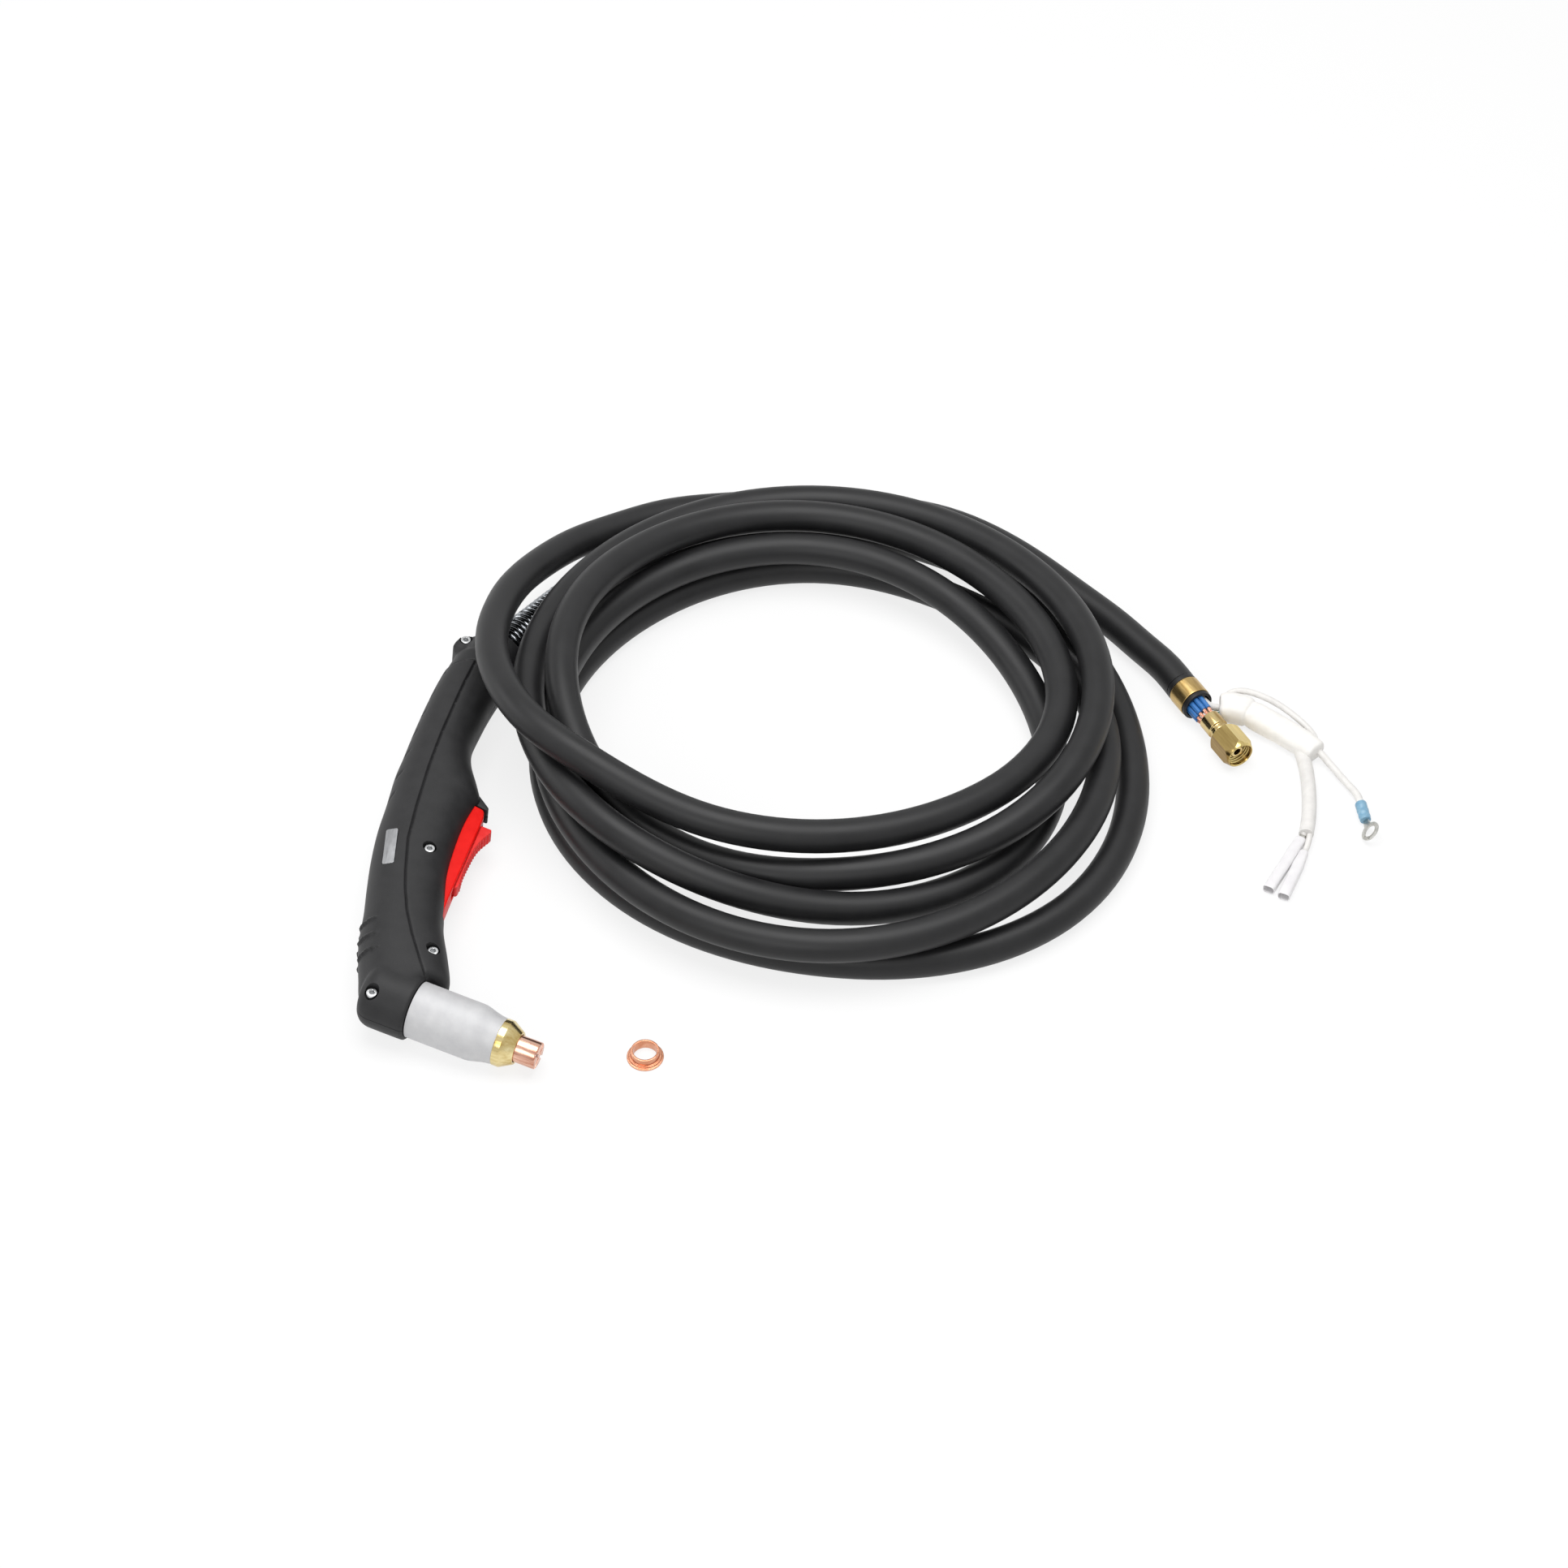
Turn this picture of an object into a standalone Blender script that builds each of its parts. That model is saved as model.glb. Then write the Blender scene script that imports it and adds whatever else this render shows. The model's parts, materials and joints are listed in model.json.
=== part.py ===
# Plasma cutting hand torch lying on its side, with its coiled lead, the fitting and control wires at the
# lead's far end, and one loose copper ring.
#
# Frames: the layout frame has its origin on the floor at the coil's centre. The torch frame has +X along the
# shield cup's axis, +Y up the handle and the handle's parting plane at z = 0. The end frame has +X along the
# brass fitting's axis. All are metres, with +Z up.

import math

import bmesh
import bpy
import numpy as np
from mathutils import Euler, Matrix, Vector

MM = 0.001

# Shared clearances
SEAT_GAP = 0.3 * MM
SLIDE_GAP = 0.4 * MM
WELD = 0.004 * MM
CUTTER_PHASE = math.radians(5.0)

# Where the layout and the torch lie
LAYOUT_PLACE = Vector((156.7, 87.4, 0.0)) * MM
TORCH_PLACE = Vector((-203.0, -203.0, 17.96)) * MM
TORCH_PITCH = math.radians(-1.8)
TORCH_ROLL = math.radians(6.0)
TORCH_TURN = math.radians(-21.7)

# Handle shell
SHELL_WALL = 2.6 * MM
SHELL_SQUARENESS = 2.4
SHELL_SIDES = 20
PARTING_GAP = 0.3 * MM
HEAD_RADIUS = 16.3 * MM
HEAD_BACK = -27.0 * MM
HEAD_BORE_RADIUS = 13.0 * MM
COLLAR_RADIUS = 16.5 * MM
COLLAR_LENGTH = 20.0 * MM
COLLAR_START = Vector((-68.4, 228.0, 0.0)) * MM
COLLAR_LEAN = math.radians(7.0)

# Handle stations from the head to the collar: back x, back y, front x, front y, half thickness, in mm
HANDLE_STATIONS = (
    (-33.0, 5.0, 8.0, 17.0, 13.0),
    (-37.5, 13.0, 8.5, 22.0, 15.6),
    (-43.5, 26.0, 1.5, 34.5, 16.5),
    (-49.0, 43.0, -8.0, 50.0, 17.0),
    (-55.0, 59.0, -14.5, 66.0, 17.0),
    (-61.0, 76.0, -21.0, 83.0, 17.0),
    (-66.5, 95.0, -26.0, 101.0, 17.0),
    (-70.5, 114.0, -29.5, 119.0, 17.0),
    (-74.5, 131.0, -30.0, 133.0, 17.0),
    (-76.0, 139.0, -26.5, 138.5, 17.0),
    (-77.0, 147.0, -33.5, 147.0, 17.0),
    (-79.0, 160.0, -43.0, 160.0, 16.8),
    (-81.0, 174.0, -49.0, 174.0, 16.5),
    (-83.0, 190.0, -51.0, 190.0, 16.4),
    (-84.5, 206.0, -52.0, 206.0, 16.4),
    (-85.0, 222.0, -52.0, 222.0, 16.4),
    (-84.9, 230.0, -51.8, 230.0, 16.4),
)
# The cavity's foot, which opens into the head's bore
CAVITY_FOOT = (-25.0, 1.0, -4.0, 5.0, 13.6)

# Handle screws: x, y, counterbore floor, in mm
HANDLE_SCREWS = (
    (-34.7, 88.8, 11.5),
    (-4.8, 29.1, 8.2),
    (-20.0, -9.5, 9.2),
    (-83.6, 240.0, 5.8),
)
SCREW_HEAD_RADIUS = 2.6 * MM
SCREW_HEAD_HEIGHT = 2.8 * MM
SCREW_SHANK_RADIUS = 1.4 * MM
SCREW_END = -9.0 * MM
SOCKET_RADIUS = 1.45 * MM
SOCKET_DEPTH = 1.6 * MM
COUNTERBORE_RADIUS = 3.6 * MM
SCREW_BOSS_RADIUS = 4.3 * MM
EAR_RADIUS = 5.0 * MM
EAR_HALF_HEIGHT = 9.5 * MM

# Plate let into the grip
PLATE_CENTRE = Vector((-52.8, 80.2, 15.3)) * MM
PLATE_LENGTH = 24.0 * MM
PLATE_WIDTH = 6.4 * MM
PLATE_THICKNESS = 0.8 * MM
PLATE_TURN = math.radians(110.0)
PLATE_TILT = math.radians(-21.0)

# Trigger, release and switch, in the torch frame
PIVOT = Vector((-18.0, 59.5, 0.0)) * MM
PIVOT_PIN_RADIUS = 1.5 * MM
PIVOT_PIN_HALF = 12.0 * MM
PIVOT_BOSS_RADIUS = 3.6 * MM
TRIGGER_HALF_WIDTH = 5.9 * MM
TRIGGER_OUTLINE = (
    (-13.4, 61.5), (-15.2, 76.0), (-21.5, 128.5), (-23.4, 133.4), (-31.6, 134.6),
    (-28.8, 112.0), (-24.6, 82.0), (-22.4, 60.0), (-20.5, 56.4), (-16.4, 56.6),
)
TRIGGER_SLOT = ((-24.5, 53.6), (-8.0, 57.6), (-10.0, 80.0), (-16.0, 135.8), (-40.0, 135.8), (-33.0, 90.0))
RELEASE_RUN = Vector((-0.119, 0.993, 0.0)).normalized()
RELEASE_GROOVE_DEPTH = 3.5 * MM
RELEASE_TONGUE_HALF = 3.0 * MM
RELEASE_HALF_WIDTH = 5.0 * MM
RELEASE_TONGUE_LENGTH = 50.0 * MM
RELEASE_START = 75.6 * MM
RELEASE_TRAVEL_ROOM = 5.2 * MM
RELEASE_CROWN = (
    (-14.6, 75.6), (-13.6, 75.9), (-12.9, 80.5), (-16.4, 99.5), (-15.2, 111.5), (-13.4, 117.5),
    (-16.0, 125.4),
)
SWITCH_CENTRE = Vector((-42.2, 113.0, 0.0)) * MM
SWITCH_SIZE = Vector((9.0, 32.0, 11.0)) * MM
SWITCH_TURN = math.radians(8.3)
SWITCH_PAD_RADIUS = 3.2 * MM
PLUNGER_RADIUS = 2.2 * MM
PLUNGER_BLIND = 4.6 * MM
PLUNGER_STATION = 5.0 * MM
RETURN_SPRING_STATION = -9.0 * MM
RETURN_SPRING_RADIUS = 2.6 * MM
RETURN_SPRING_WIRE = 0.35 * MM
RETURN_SPRING_CURLS = 6
RELEASE_SPRING_RADIUS = 1.3 * MM
RELEASE_SPRING_WIRE = 0.25 * MM
RELEASE_SPRING_CURLS = 5

# Head, consumables and cup: stations along the cup axis
INSULATOR_START = -3.0 * MM
INSULATOR_END = 11.5 * MM
INSULATOR_RADIUS = 12.1 * MM
HEAD_BODY_RADIUS = 9.5 * MM
HEAD_BODY_START = -15.0 * MM
HEAD_BODY_END = 14.0 * MM
ELECTRODE_RADIUS = 4.9 * MM
ELECTRODE_START = 7.8 * MM
ELECTRODE_END = 34.0 * MM
DISTRIBUTOR_RADIUS = 10.4 * MM
DISTRIBUTOR_LENGTH = 15.4 * MM
TIP_SKIRT_RADIUS = 8.9 * MM
TIP_SKIRT_LENGTH = 9.7 * MM
TIP_SKIRT_BORE = 6.0 * MM
TIP_RADIUS = 7.0 * MM
TIP_END = 67.0 * MM
TIP_ORIFICE = 0.9 * MM
TIP_SLOT_WIDTH = 1.6 * MM
TIP_SLOT_DEPTH = 2.0 * MM
CUP_RADIUS = 14.85 * MM
CUP_STRAIGHT = 30.0 * MM
CUP_END = 45.7 * MM
CUP_END_RADIUS = 12.0 * MM
CUP_NOSE_WALL = 2.5 * MM
END_RING_STRAIGHT = 3.0 * MM
END_RING_CONE = 7.0 * MM
END_RING_TIP_RADIUS = 8.6 * MM
SEAL_WIRE = 0.8 * MM

# Lead, its spring strain relief and its route in the layout frame, in mm
LEAD_RADIUS = 8.75 * MM
LEAD_INSET = 2.0 * MM
LEAD_STEP = 22.0 * MM
TAIL_STEP = 11.0 * MM
COIL_POINTS_PER_TURN = 24
SPRING_WIRE = 1.0 * MM
SPRING_CLEARANCE = 0.8 * MM
SPRING_PITCH = 3.0 * MM
SPRING_CURLS = 22
SPRING_START = 3.0 * MM
SPRING_CURL_POINTS = 10
SMALL_CURL_POINTS = 8

# Points from the handle's collar to the coil
TAIL_ROUTE = (
    (-157.2, 75.1, 13.6), (-136.5, 101.5, 11.2), (-107.5, 128.0, 9.4), (-77.0, 144.8, 8.8), (-44.7, 155.7, 8.8),
)
# Radius and height of each turn at eight bearings, clockwise from the back
COIL_TURNS = (
    ((160.0, 8.8), (155.0, 8.8), (162.0, 8.8), (179.0, 8.8), (162.0, 8.8), (154.0, 8.8), (146.0, 8.8), (134.0, 8.8)),
    ((128.5, 8.8), (127.0, 10.5), (147.0, 19.8), (162.0, 26.0), (169.0, 27.0), (157.0, 27.0), (144.0, 27.0),
     (134.0, 27.2)),
    ((123.0, 27.2), (112.0, 21.5), (120.0, 10.5), (136.0, 13.0), (137.0, 20.5), (150.5, 45.6), (155.0, 43.0),
     (159.0, 34.0)),
    ((163.0, 27.4), (153.0, 32.0), (146.0, 39.0), (133.0, 34.0), (119.5, 26.0), (131.0, 34.0), (137.0, 56.5),
     (142.5, 46.0)),
    ((142.5, 34.0), (131.5, 32.0), (127.0, 32.2), (112.0, 38.0), (109.0, 43.5), (129.0, 56.0)),
)
# Points from the coil, over the handle's collar and round the back to the fitting
RUN_OUT_ROUTE = (
    (-124.7, -72.0, 64.6), (-150.0, -49.4, 67.0), (-165.2, -21.8, 64.0), (-174.0, 13.0, 57.5),
    (-173.0, 51.0, 48.5), (-164.4, 84.0, 39.5), (-152.5, 107.8, 32.0), (-134.0, 131.8, 25.0),
    (-113.0, 149.3, 19.5), (-86.5, 166.0, 14.5), (-57.0, 175.2, 10.8), (-27.3, 179.6, 8.9), (1.0, 180.0, 8.8),
    (36.7, 175.6, 8.8), (68.5, 167.0, 8.8), (97.5, 149.6, 8.8), (121.5, 127.6, 8.8), (142.8, 104.2, 8.8),
    (161.7, 82.6, 8.9), (176.6, 62.6, 9.1),
)

# Lead end: the end frame starts at the jacket's end
END_PLACE = Vector((194.0, 34.5, 9.4)) * MM
END_BEARING = math.radians(-62.0)
MOUTH_LENGTH = 17.5 * MM
MOUTH_BORE = 6.6 * MM
MOUTH_FLOOR = 6.0 * MM
MOUTH_LIP_RADIUS = 8.6 * MM
BAND_START = 1.2 * MM
BAND_LENGTH = 11.0 * MM
BAND_RADIUS = 8.9 * MM
BAND_WALL = 0.6 * MM
BLUE_WIRE_RADIUS = 1.35 * MM
BLUE_WIRE_BEARINGS = (75.0, 125.0, 175.0, 225.0, 285.0)
WIRE_RING_MOUTH = 4.9 * MM
WIRE_RING_BARREL = 3.9 * MM
WIRE_END = 27.6 * MM
STRAND_RADIUS = 1.0 * MM
BARREL_START = 29.0 * MM
BARREL_LENGTH = 12.0 * MM
BARREL_RADIUS = 6.0 * MM
BARREL_BORE = 5.3 * MM
BARREL_BORE_DEPTH = 5.0 * MM
NUT_START = 42.3 * MM
NUT_LENGTH = 17.5 * MM
NUT_ACROSS_FLATS = 15.9 * MM
NUT_BACK_WALL = 2.7 * MM
NUT_BORE = 6.6 * MM
NUT_CHAMFER = 1.2 * MM
NIPPLE_STEM_RADIUS = 4.4 * MM
NIPPLE_HEAD_LENGTH = 3.4 * MM
NIPPLE_NOSE_LENGTH = 5.0 * MM
NIPPLE_NOSE_RADIUS = 3.5 * MM
NIPPLE_BORE = 2.0 * MM

# Control branch on the floor, in the layout frame, in mm
FOAM_ROUTE = ((214.5, 19.6, 6.2), (223.0, 18.2, 6.2), (234.0, 12.4, 6.2), (246.0, 3.2, 6.2), (256.4, -5.7, 6.2),
              (263.0, -12.4, 6.2))
FOAM_HALF_WIDTH = 7.0 * MM
FOAM_HALF_HEIGHT = 5.8 * MM
STUB_ROUTE = ((200.6, 30.6, 11.3), (204.1, 24.0, 11.3), (206.2, 20.2, 11.0), (209.2, 18.2, 10.0), (213.0, 18.9, 8.4))
STUB_RADIUS = 1.9 * MM
GREEN_ROUTE = ((201.0, 30.9, 7.3), (204.6, 24.3, 7.3), (206.8, 20.0, 7.2), (209.6, 16.4, 6.8), (213.4, 16.4, 6.4))
GREEN_RADIUS = 1.1 * MM
LOOP_WIRE_ROUTE = ((217.2, 27.4, 7.0), (220.4, 29.4, 9.0), (226.0, 29.4, 10.6), (235.0, 26.0, 11.0),
                   (244.0, 21.0, 9.8), (254.5, 12.5, 7.6), (262.6, 3.4, 5.6), (266.3, -3.6, 5.0), (267.7, -6.6, 5.0))
LOOP_WIRE_RADIUS = 1.6 * MM
PAIR_ROUTE = ((256.2, -16.4, 4.2), (257.0, -31.0, 4.1), (256.4, -47.0, 4.1), (254.8, -60.0, 4.1), (252.6, -70.6, 4.1))
PAIR_RADIUS = 3.9 * MM
RING_WIRE_ROUTE = ((265.2, -11.8, 5.0), (268.6, -17.0, 4.2), (272.6, -23.6, 3.4), (278.6, -33.8, 2.8), (282.6, -42.4, 3.0),
                   (283.4, -47.4, 3.0))
RING_WIRE_RADIUS = 2.0 * MM
CRIMP_RADIUS = 2.8 * MM
CRIMP_LENGTH = 12.0 * MM
CRIMP_BEARING = math.radians(-83.0)
TERMINAL_THICKNESS = 1.0 * MM
TERMINAL_LEVEL = 0.8 * MM
TERMINAL_RADIUS = 4.75 * MM
TERMINAL_HOLE = 2.65 * MM
TERMINAL_REACH = 9.5 * MM
TONGUE_HALF_WIDTH = 2.0 * MM
# Push-on connectors: start x, start y, end x, end y
CONNECTORS = ((247.2, -78.4, 228.4, -110.6), (254.6, -83.4, 237.9, -115.2))
CONNECTOR_WIDTH = 8.2 * MM
CONNECTOR_HEIGHT = 5.4 * MM
CONNECTOR_WALL = 0.8 * MM
CONNECTOR_LEVEL = 3.2 * MM
CONNECTOR_HOLLOW = 26.0 * MM
BLADE_SET_BACK = 4.0 * MM
LINK_WIRE_RADIUS = 1.5 * MM

# Loose copper ring
RING_PLACE = Vector((-89.0, -219.0, 0.0)) * MM
RING_FLANGE_RADIUS = 9.25 * MM
RING_FLANGE_HEIGHT = 2.0 * MM
RING_COLLAR_RADIUS = 7.2 * MM
RING_HEIGHT = 5.5 * MM
RING_HOLE_RADIUS = 6.0 * MM

# Colour, roughness, metallic
FINISHES = {
    "black_nylon": ((0.022, 0.022, 0.024), 0.52, 0.0),
    "black_rubber": ((0.018, 0.018, 0.019), 0.42, 0.0),
    "red_plastic": ((0.70, 0.012, 0.014), 0.38, 0.0),
    "pale_red_plastic": ((0.74, 0.035, 0.045), 0.42, 0.0),
    "grey_satin": ((0.52, 0.52, 0.53), 0.40, 0.15),
    "brass": ((0.72, 0.50, 0.18), 0.22, 1.0),
    "copper": ((0.80, 0.38, 0.24), 0.25, 1.0),
    "steel": ((0.62, 0.62, 0.63), 0.28, 1.0),
    "blued_steel": ((0.12, 0.13, 0.16), 0.26, 1.0),
    "silver_foil": ((0.62, 0.63, 0.65), 0.40, 0.6),
    "blue_pvc": ((0.03, 0.16, 0.52), 0.45, 0.0),
    "green_pvc": ((0.03, 0.30, 0.16), 0.45, 0.0),
    "white_silicone": ((0.80, 0.79, 0.77), 0.50, 0.0),
    "white_foam": ((0.82, 0.81, 0.79), 0.75, 0.0),
    "clear_vinyl": ((0.78, 0.80, 0.83), 0.20, 0.0),
    "crimp_blue": ((0.12, 0.36, 0.52), 0.40, 0.0),
    "tinned_copper": ((0.66, 0.66, 0.66), 0.30, 1.0),
    "ceramic": ((0.55, 0.45, 0.36), 0.60, 0.0),
    "phenolic": ((0.10, 0.05, 0.03), 0.55, 0.0),
}


# Scene helpers

def clear_scene():
    for obj in list(bpy.data.objects):
        bpy.data.objects.remove(obj, do_unlink=True)


def add_frame(name, matrix, parent=None):
    frame = bpy.data.objects.new(name, None)
    bpy.context.scene.collection.objects.link(frame)
    frame.matrix_local = matrix
    frame.parent = parent
    return frame


def paint(obj, finish):
    colour, roughness, metallic = FINISHES[finish]
    material = bpy.data.materials.new(obj.name + "_" + finish)
    material.use_nodes = True
    shader = material.node_tree.nodes["Principled BSDF"]
    shader.inputs["Base Color"].default_value = (*colour, 1.0)
    shader.inputs["Roughness"].default_value = roughness
    shader.inputs["Metallic"].default_value = metallic
    obj.data.materials.clear()
    obj.data.materials.append(material)


def add_mesh(name, shape):
    mesh = bpy.data.meshes.new(name)
    shape.to_mesh(mesh)
    shape.free()
    obj = bpy.data.objects.new(name, mesh)
    bpy.context.scene.collection.objects.link(obj)
    return obj


def finish_piece(obj, finish, parent, origin=None):
    if origin is not None:
        obj.data.transform(Matrix.Translation(-origin))
        obj.location = origin
    obj.parent = parent
    paint(obj, finish)
    if obj.type == "MESH":
        obj.data.shade_smooth()
        obj.data.set_sharp_from_angle(angle=math.radians(35.0))
    return obj


def close_shape(shape):
    bmesh.ops.remove_doubles(shape, verts=shape.verts, dist=1e-7)
    bmesh.ops.recalc_face_normals(shape, faces=shape.faces)


# A profile of (station, radius) points turned about the X axis; a profile that starts and ends on the axis
# is solid, and any other is closed into a ring

def turned(name, profile, steps=20, phase=0.0):
    shape = bmesh.new()
    c = math.cos(phase)
    s = math.sin(phase)
    points = [shape.verts.new((station, radius * c, radius * s)) for station, radius in profile]
    pairs = list(zip(points, points[1:]))
    if profile[0][1] > 0.0:
        pairs.append((points[-1], points[0]))
    edges = [shape.edges.new(pair) for pair in pairs]
    bmesh.ops.spin(shape, geom=points + edges, cent=(0, 0, 0), axis=(1, 0, 0), angle=math.tau, steps=steps,
                   use_merge=True)
    close_shape(shape)
    return add_mesh(name, shape)


# A plan outline in mm raised between two heights

def extruded(name, outline, bottom, top):
    shape = bmesh.new()
    corners = [shape.verts.new((x * MM, y * MM, bottom)) for x, y in outline]
    face = shape.faces.new(corners)
    raised = bmesh.ops.extrude_face_region(shape, geom=[face])["geom"]
    moved = [item for item in raised if isinstance(item, bmesh.types.BMVert)]
    bmesh.ops.translate(shape, verts=moved, vec=(0, 0, top - bottom))
    close_shape(shape)
    return add_mesh(name, shape)


def block(name, size, matrix):
    shape = bmesh.new()
    bmesh.ops.create_cube(shape, size=1.0, matrix=matrix @ Matrix.Diagonal((*size, 1.0)))
    return add_mesh(name, shape)


def post(name, centre, radius, bottom, top, steps=14):
    shape = bmesh.new()
    middle = Matrix.Translation((centre[0], centre[1], (bottom + top) / 2))
    bmesh.ops.create_cone(shape, cap_ends=True, segments=steps, radius1=radius, radius2=radius, depth=top - bottom,
                          matrix=middle)
    return add_mesh(name, shape)


# Rings of points joined one to the next and closed at both ends

def lofted(name, rings):
    shape = bmesh.new()
    loops = [[shape.verts.new(point) for point in ring] for ring in rings]
    for lower, upper in zip(loops, loops[1:]):
        count = len(lower)
        for i in range(count):
            shape.faces.new((lower[i], lower[(i + 1) % count], upper[(i + 1) % count], upper[i]))
    shape.faces.new(loops[0])
    shape.faces.new(loops[-1])
    close_shape(shape)
    return add_mesh(name, shape)


def combine(target, tool, operation):
    change = target.modifiers.new("combine", "BOOLEAN")
    change.operation = operation
    change.object = tool
    change.solver = "EXACT"
    bpy.context.view_layer.update()
    depsgraph = bpy.context.evaluated_depsgraph_get()
    mesh = bpy.data.meshes.new_from_object(target.evaluated_get(depsgraph))
    target.modifiers.remove(change)
    shape = bmesh.new()
    shape.from_mesh(mesh)
    bmesh.ops.remove_doubles(shape, verts=shape.verts, dist=WELD)
    bmesh.ops.dissolve_degenerate(shape, edges=shape.edges, dist=WELD)
    shape.to_mesh(mesh)
    shape.free()
    target.data = mesh
    bpy.data.objects.remove(tool, do_unlink=True)
    return target


def copy_of(obj, name):
    twin = bpy.data.objects.new(name, obj.data.copy())
    bpy.context.scene.collection.objects.link(twin)
    return twin


# A tube along points: a polyline with a round bevel and filled ends

def tube(name, points, radius, finish, parent, resolution=3):
    curve = bpy.data.curves.new(name, "CURVE")
    curve.dimensions = "3D"
    curve.bevel_depth = radius
    curve.bevel_resolution = resolution
    curve.use_fill_caps = True
    spline = curve.splines.new("POLY")
    spline.points.add(len(points) - 1)
    for knot, point in zip(spline.points, points):
        knot.co = (*point, 1.0)
    obj = bpy.data.objects.new(name, curve)
    bpy.context.scene.collection.objects.link(obj)
    return finish_piece(obj, finish, parent)


# Smooth curves

def cubic_through(knots, values):
    # Second derivatives of a natural cubic spline, one column of values for each coordinate
    knots = np.asarray(knots, float)
    values = np.asarray(values, float)
    count = len(knots)
    step = np.diff(knots)
    slope = np.diff(values, axis=0) / step[:, None]
    system = np.eye(count)
    right = np.zeros_like(values)
    for i in range(1, count - 1):
        system[i, i - 1:i + 2] = (step[i - 1], 2.0 * (step[i - 1] + step[i]), step[i])
        right[i] = 6.0 * (slope[i] - slope[i - 1])
    bend = np.linalg.solve(system, right)

    def read(place):
        i = int(np.clip(np.searchsorted(knots, place) - 1, 0, count - 2))
        left = knots[i + 1] - place
        passed = place - knots[i]
        wide = step[i]
        return (bend[i] * left ** 3 + bend[i + 1] * passed ** 3) / (6.0 * wide) \
            + (values[i] / wide - bend[i] * wide / 6.0) * left \
            + (values[i + 1] / wide - bend[i + 1] * wide / 6.0) * passed

    return read


def smooth_route(points):
    points = np.asarray(points, float)
    along = np.concatenate(([0.0], np.cumsum(np.linalg.norm(np.diff(points, axis=0), axis=1))))
    return cubic_through(along, points), along


def sampled(read, start, end, step):
    count = max(2, int(math.ceil((end - start) / step)) + 1)
    return [Vector(read(place)) for place in np.linspace(start, end, count)]


def smooth_points(route, step):
    read, along = smooth_route(np.asarray(route) * MM)
    return sampled(read, 0.0, along[-1], step)


# A helix of a spring about a straight or bent axis

def curls(read, start, pitch, count, radius, curl_points):
    points = []
    total = count * curl_points
    side = Vector((0.0, 0.0, 1.0))
    for i in range(total + 1):
        place = start + pitch * i / curl_points
        centre = Vector(read(place))
        along = (Vector(read(place + 0.5 * MM)) - Vector(read(place - 0.5 * MM))).normalized()
        side = (side - along * side.dot(along)).normalized()
        other = along.cross(side)
        turn = math.tau * i / curl_points
        points.append(centre + (side * math.cos(turn) + other * math.sin(turn)) * radius)
    return points


def straight_axis(start, direction):
    return lambda place: start + direction * place


# Least gap between stretches of one tube that lie apart along it, measured on points

def least_gap(points, radius, skip):
    dense = []
    for a, b in zip(points, points[1:]):
        dense.extend([tuple(a.lerp(b, t / 4.0)) for t in range(4)])
    dense = np.array(dense)
    along = np.concatenate(([0.0], np.cumsum(np.linalg.norm(np.diff(dense, axis=0), axis=1))))
    best = math.inf
    for i in range(len(dense)):
        apart = np.linalg.norm(dense[i + 1:] - dense[i], axis=1)
        far = (along[i + 1:] - along[i]) > skip
        if far.any():
            best = min(best, apart[far].min())
    return best - 2.0 * radius


# Handle shells

def section_ring(station, inset):
    back_x, back_y, front_x, front_y, half = station
    back = Vector((back_x, back_y, 0.0)) * MM
    front = Vector((front_x, front_y, 0.0)) * MM
    across = (front - back).normalized()
    centre = (back + front) / 2
    wide = (front - back).length / 2 - inset
    high = half * MM - inset
    power = 2.0 / SHELL_SQUARENESS
    ring = []
    for i in range(SHELL_SIDES):
        turn = math.tau * i / SHELL_SIDES
        c = math.cos(turn)
        s = math.sin(turn)
        ring.append(centre + across * wide * math.copysign(abs(c) ** power, c)
                    + Vector((0, 0, high * math.copysign(abs(s) ** power, s))))
    return ring


def collar_matrix():
    lean = Matrix.Rotation(math.pi / 2 - COLLAR_LEAN, 4, "Z")
    return Matrix.Translation(COLLAR_START) @ lean


def collar_axis():
    return Vector((math.sin(COLLAR_LEAN), math.cos(COLLAR_LEAN), 0.0))


def spring_outer_radius():
    return LEAD_RADIUS + SPRING_CLEARANCE + 2.0 * SPRING_WIRE


def handle_outside():
    body = lofted("handle_outside", [section_ring(station, 0.0) for station in HANDLE_STATIONS])
    back = HEAD_BACK
    head = turned("head_outside", (
        (back, 0.0), (back, HEAD_RADIUS - 7.0 * MM), (back + 1.0 * MM, HEAD_RADIUS - 3.6 * MM),
        (back + 3.4 * MM, HEAD_RADIUS - 1.1 * MM), (back + 6.6 * MM, HEAD_RADIUS), (-SEAT_GAP, HEAD_RADIUS),
        (-SEAT_GAP, 0.0)))
    combine(body, head, "UNION")
    collar = turned("collar_outside", (
        (-4.0 * MM, 0.0), (-4.0 * MM, COLLAR_RADIUS), (COLLAR_LENGTH - 1.5 * MM, COLLAR_RADIUS),
        (COLLAR_LENGTH, COLLAR_RADIUS - 1.5 * MM), (COLLAR_LENGTH, 0.0)))
    collar.data.transform(collar_matrix())
    combine(body, collar, "UNION")
    ear_x, ear_y, floor = HANDLE_SCREWS[3]
    ear = post("ear", (ear_x * MM, ear_y * MM), EAR_RADIUS, -EAR_HALF_HEIGHT, EAR_HALF_HEIGHT)
    combine(body, ear, "UNION")
    return body


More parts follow.
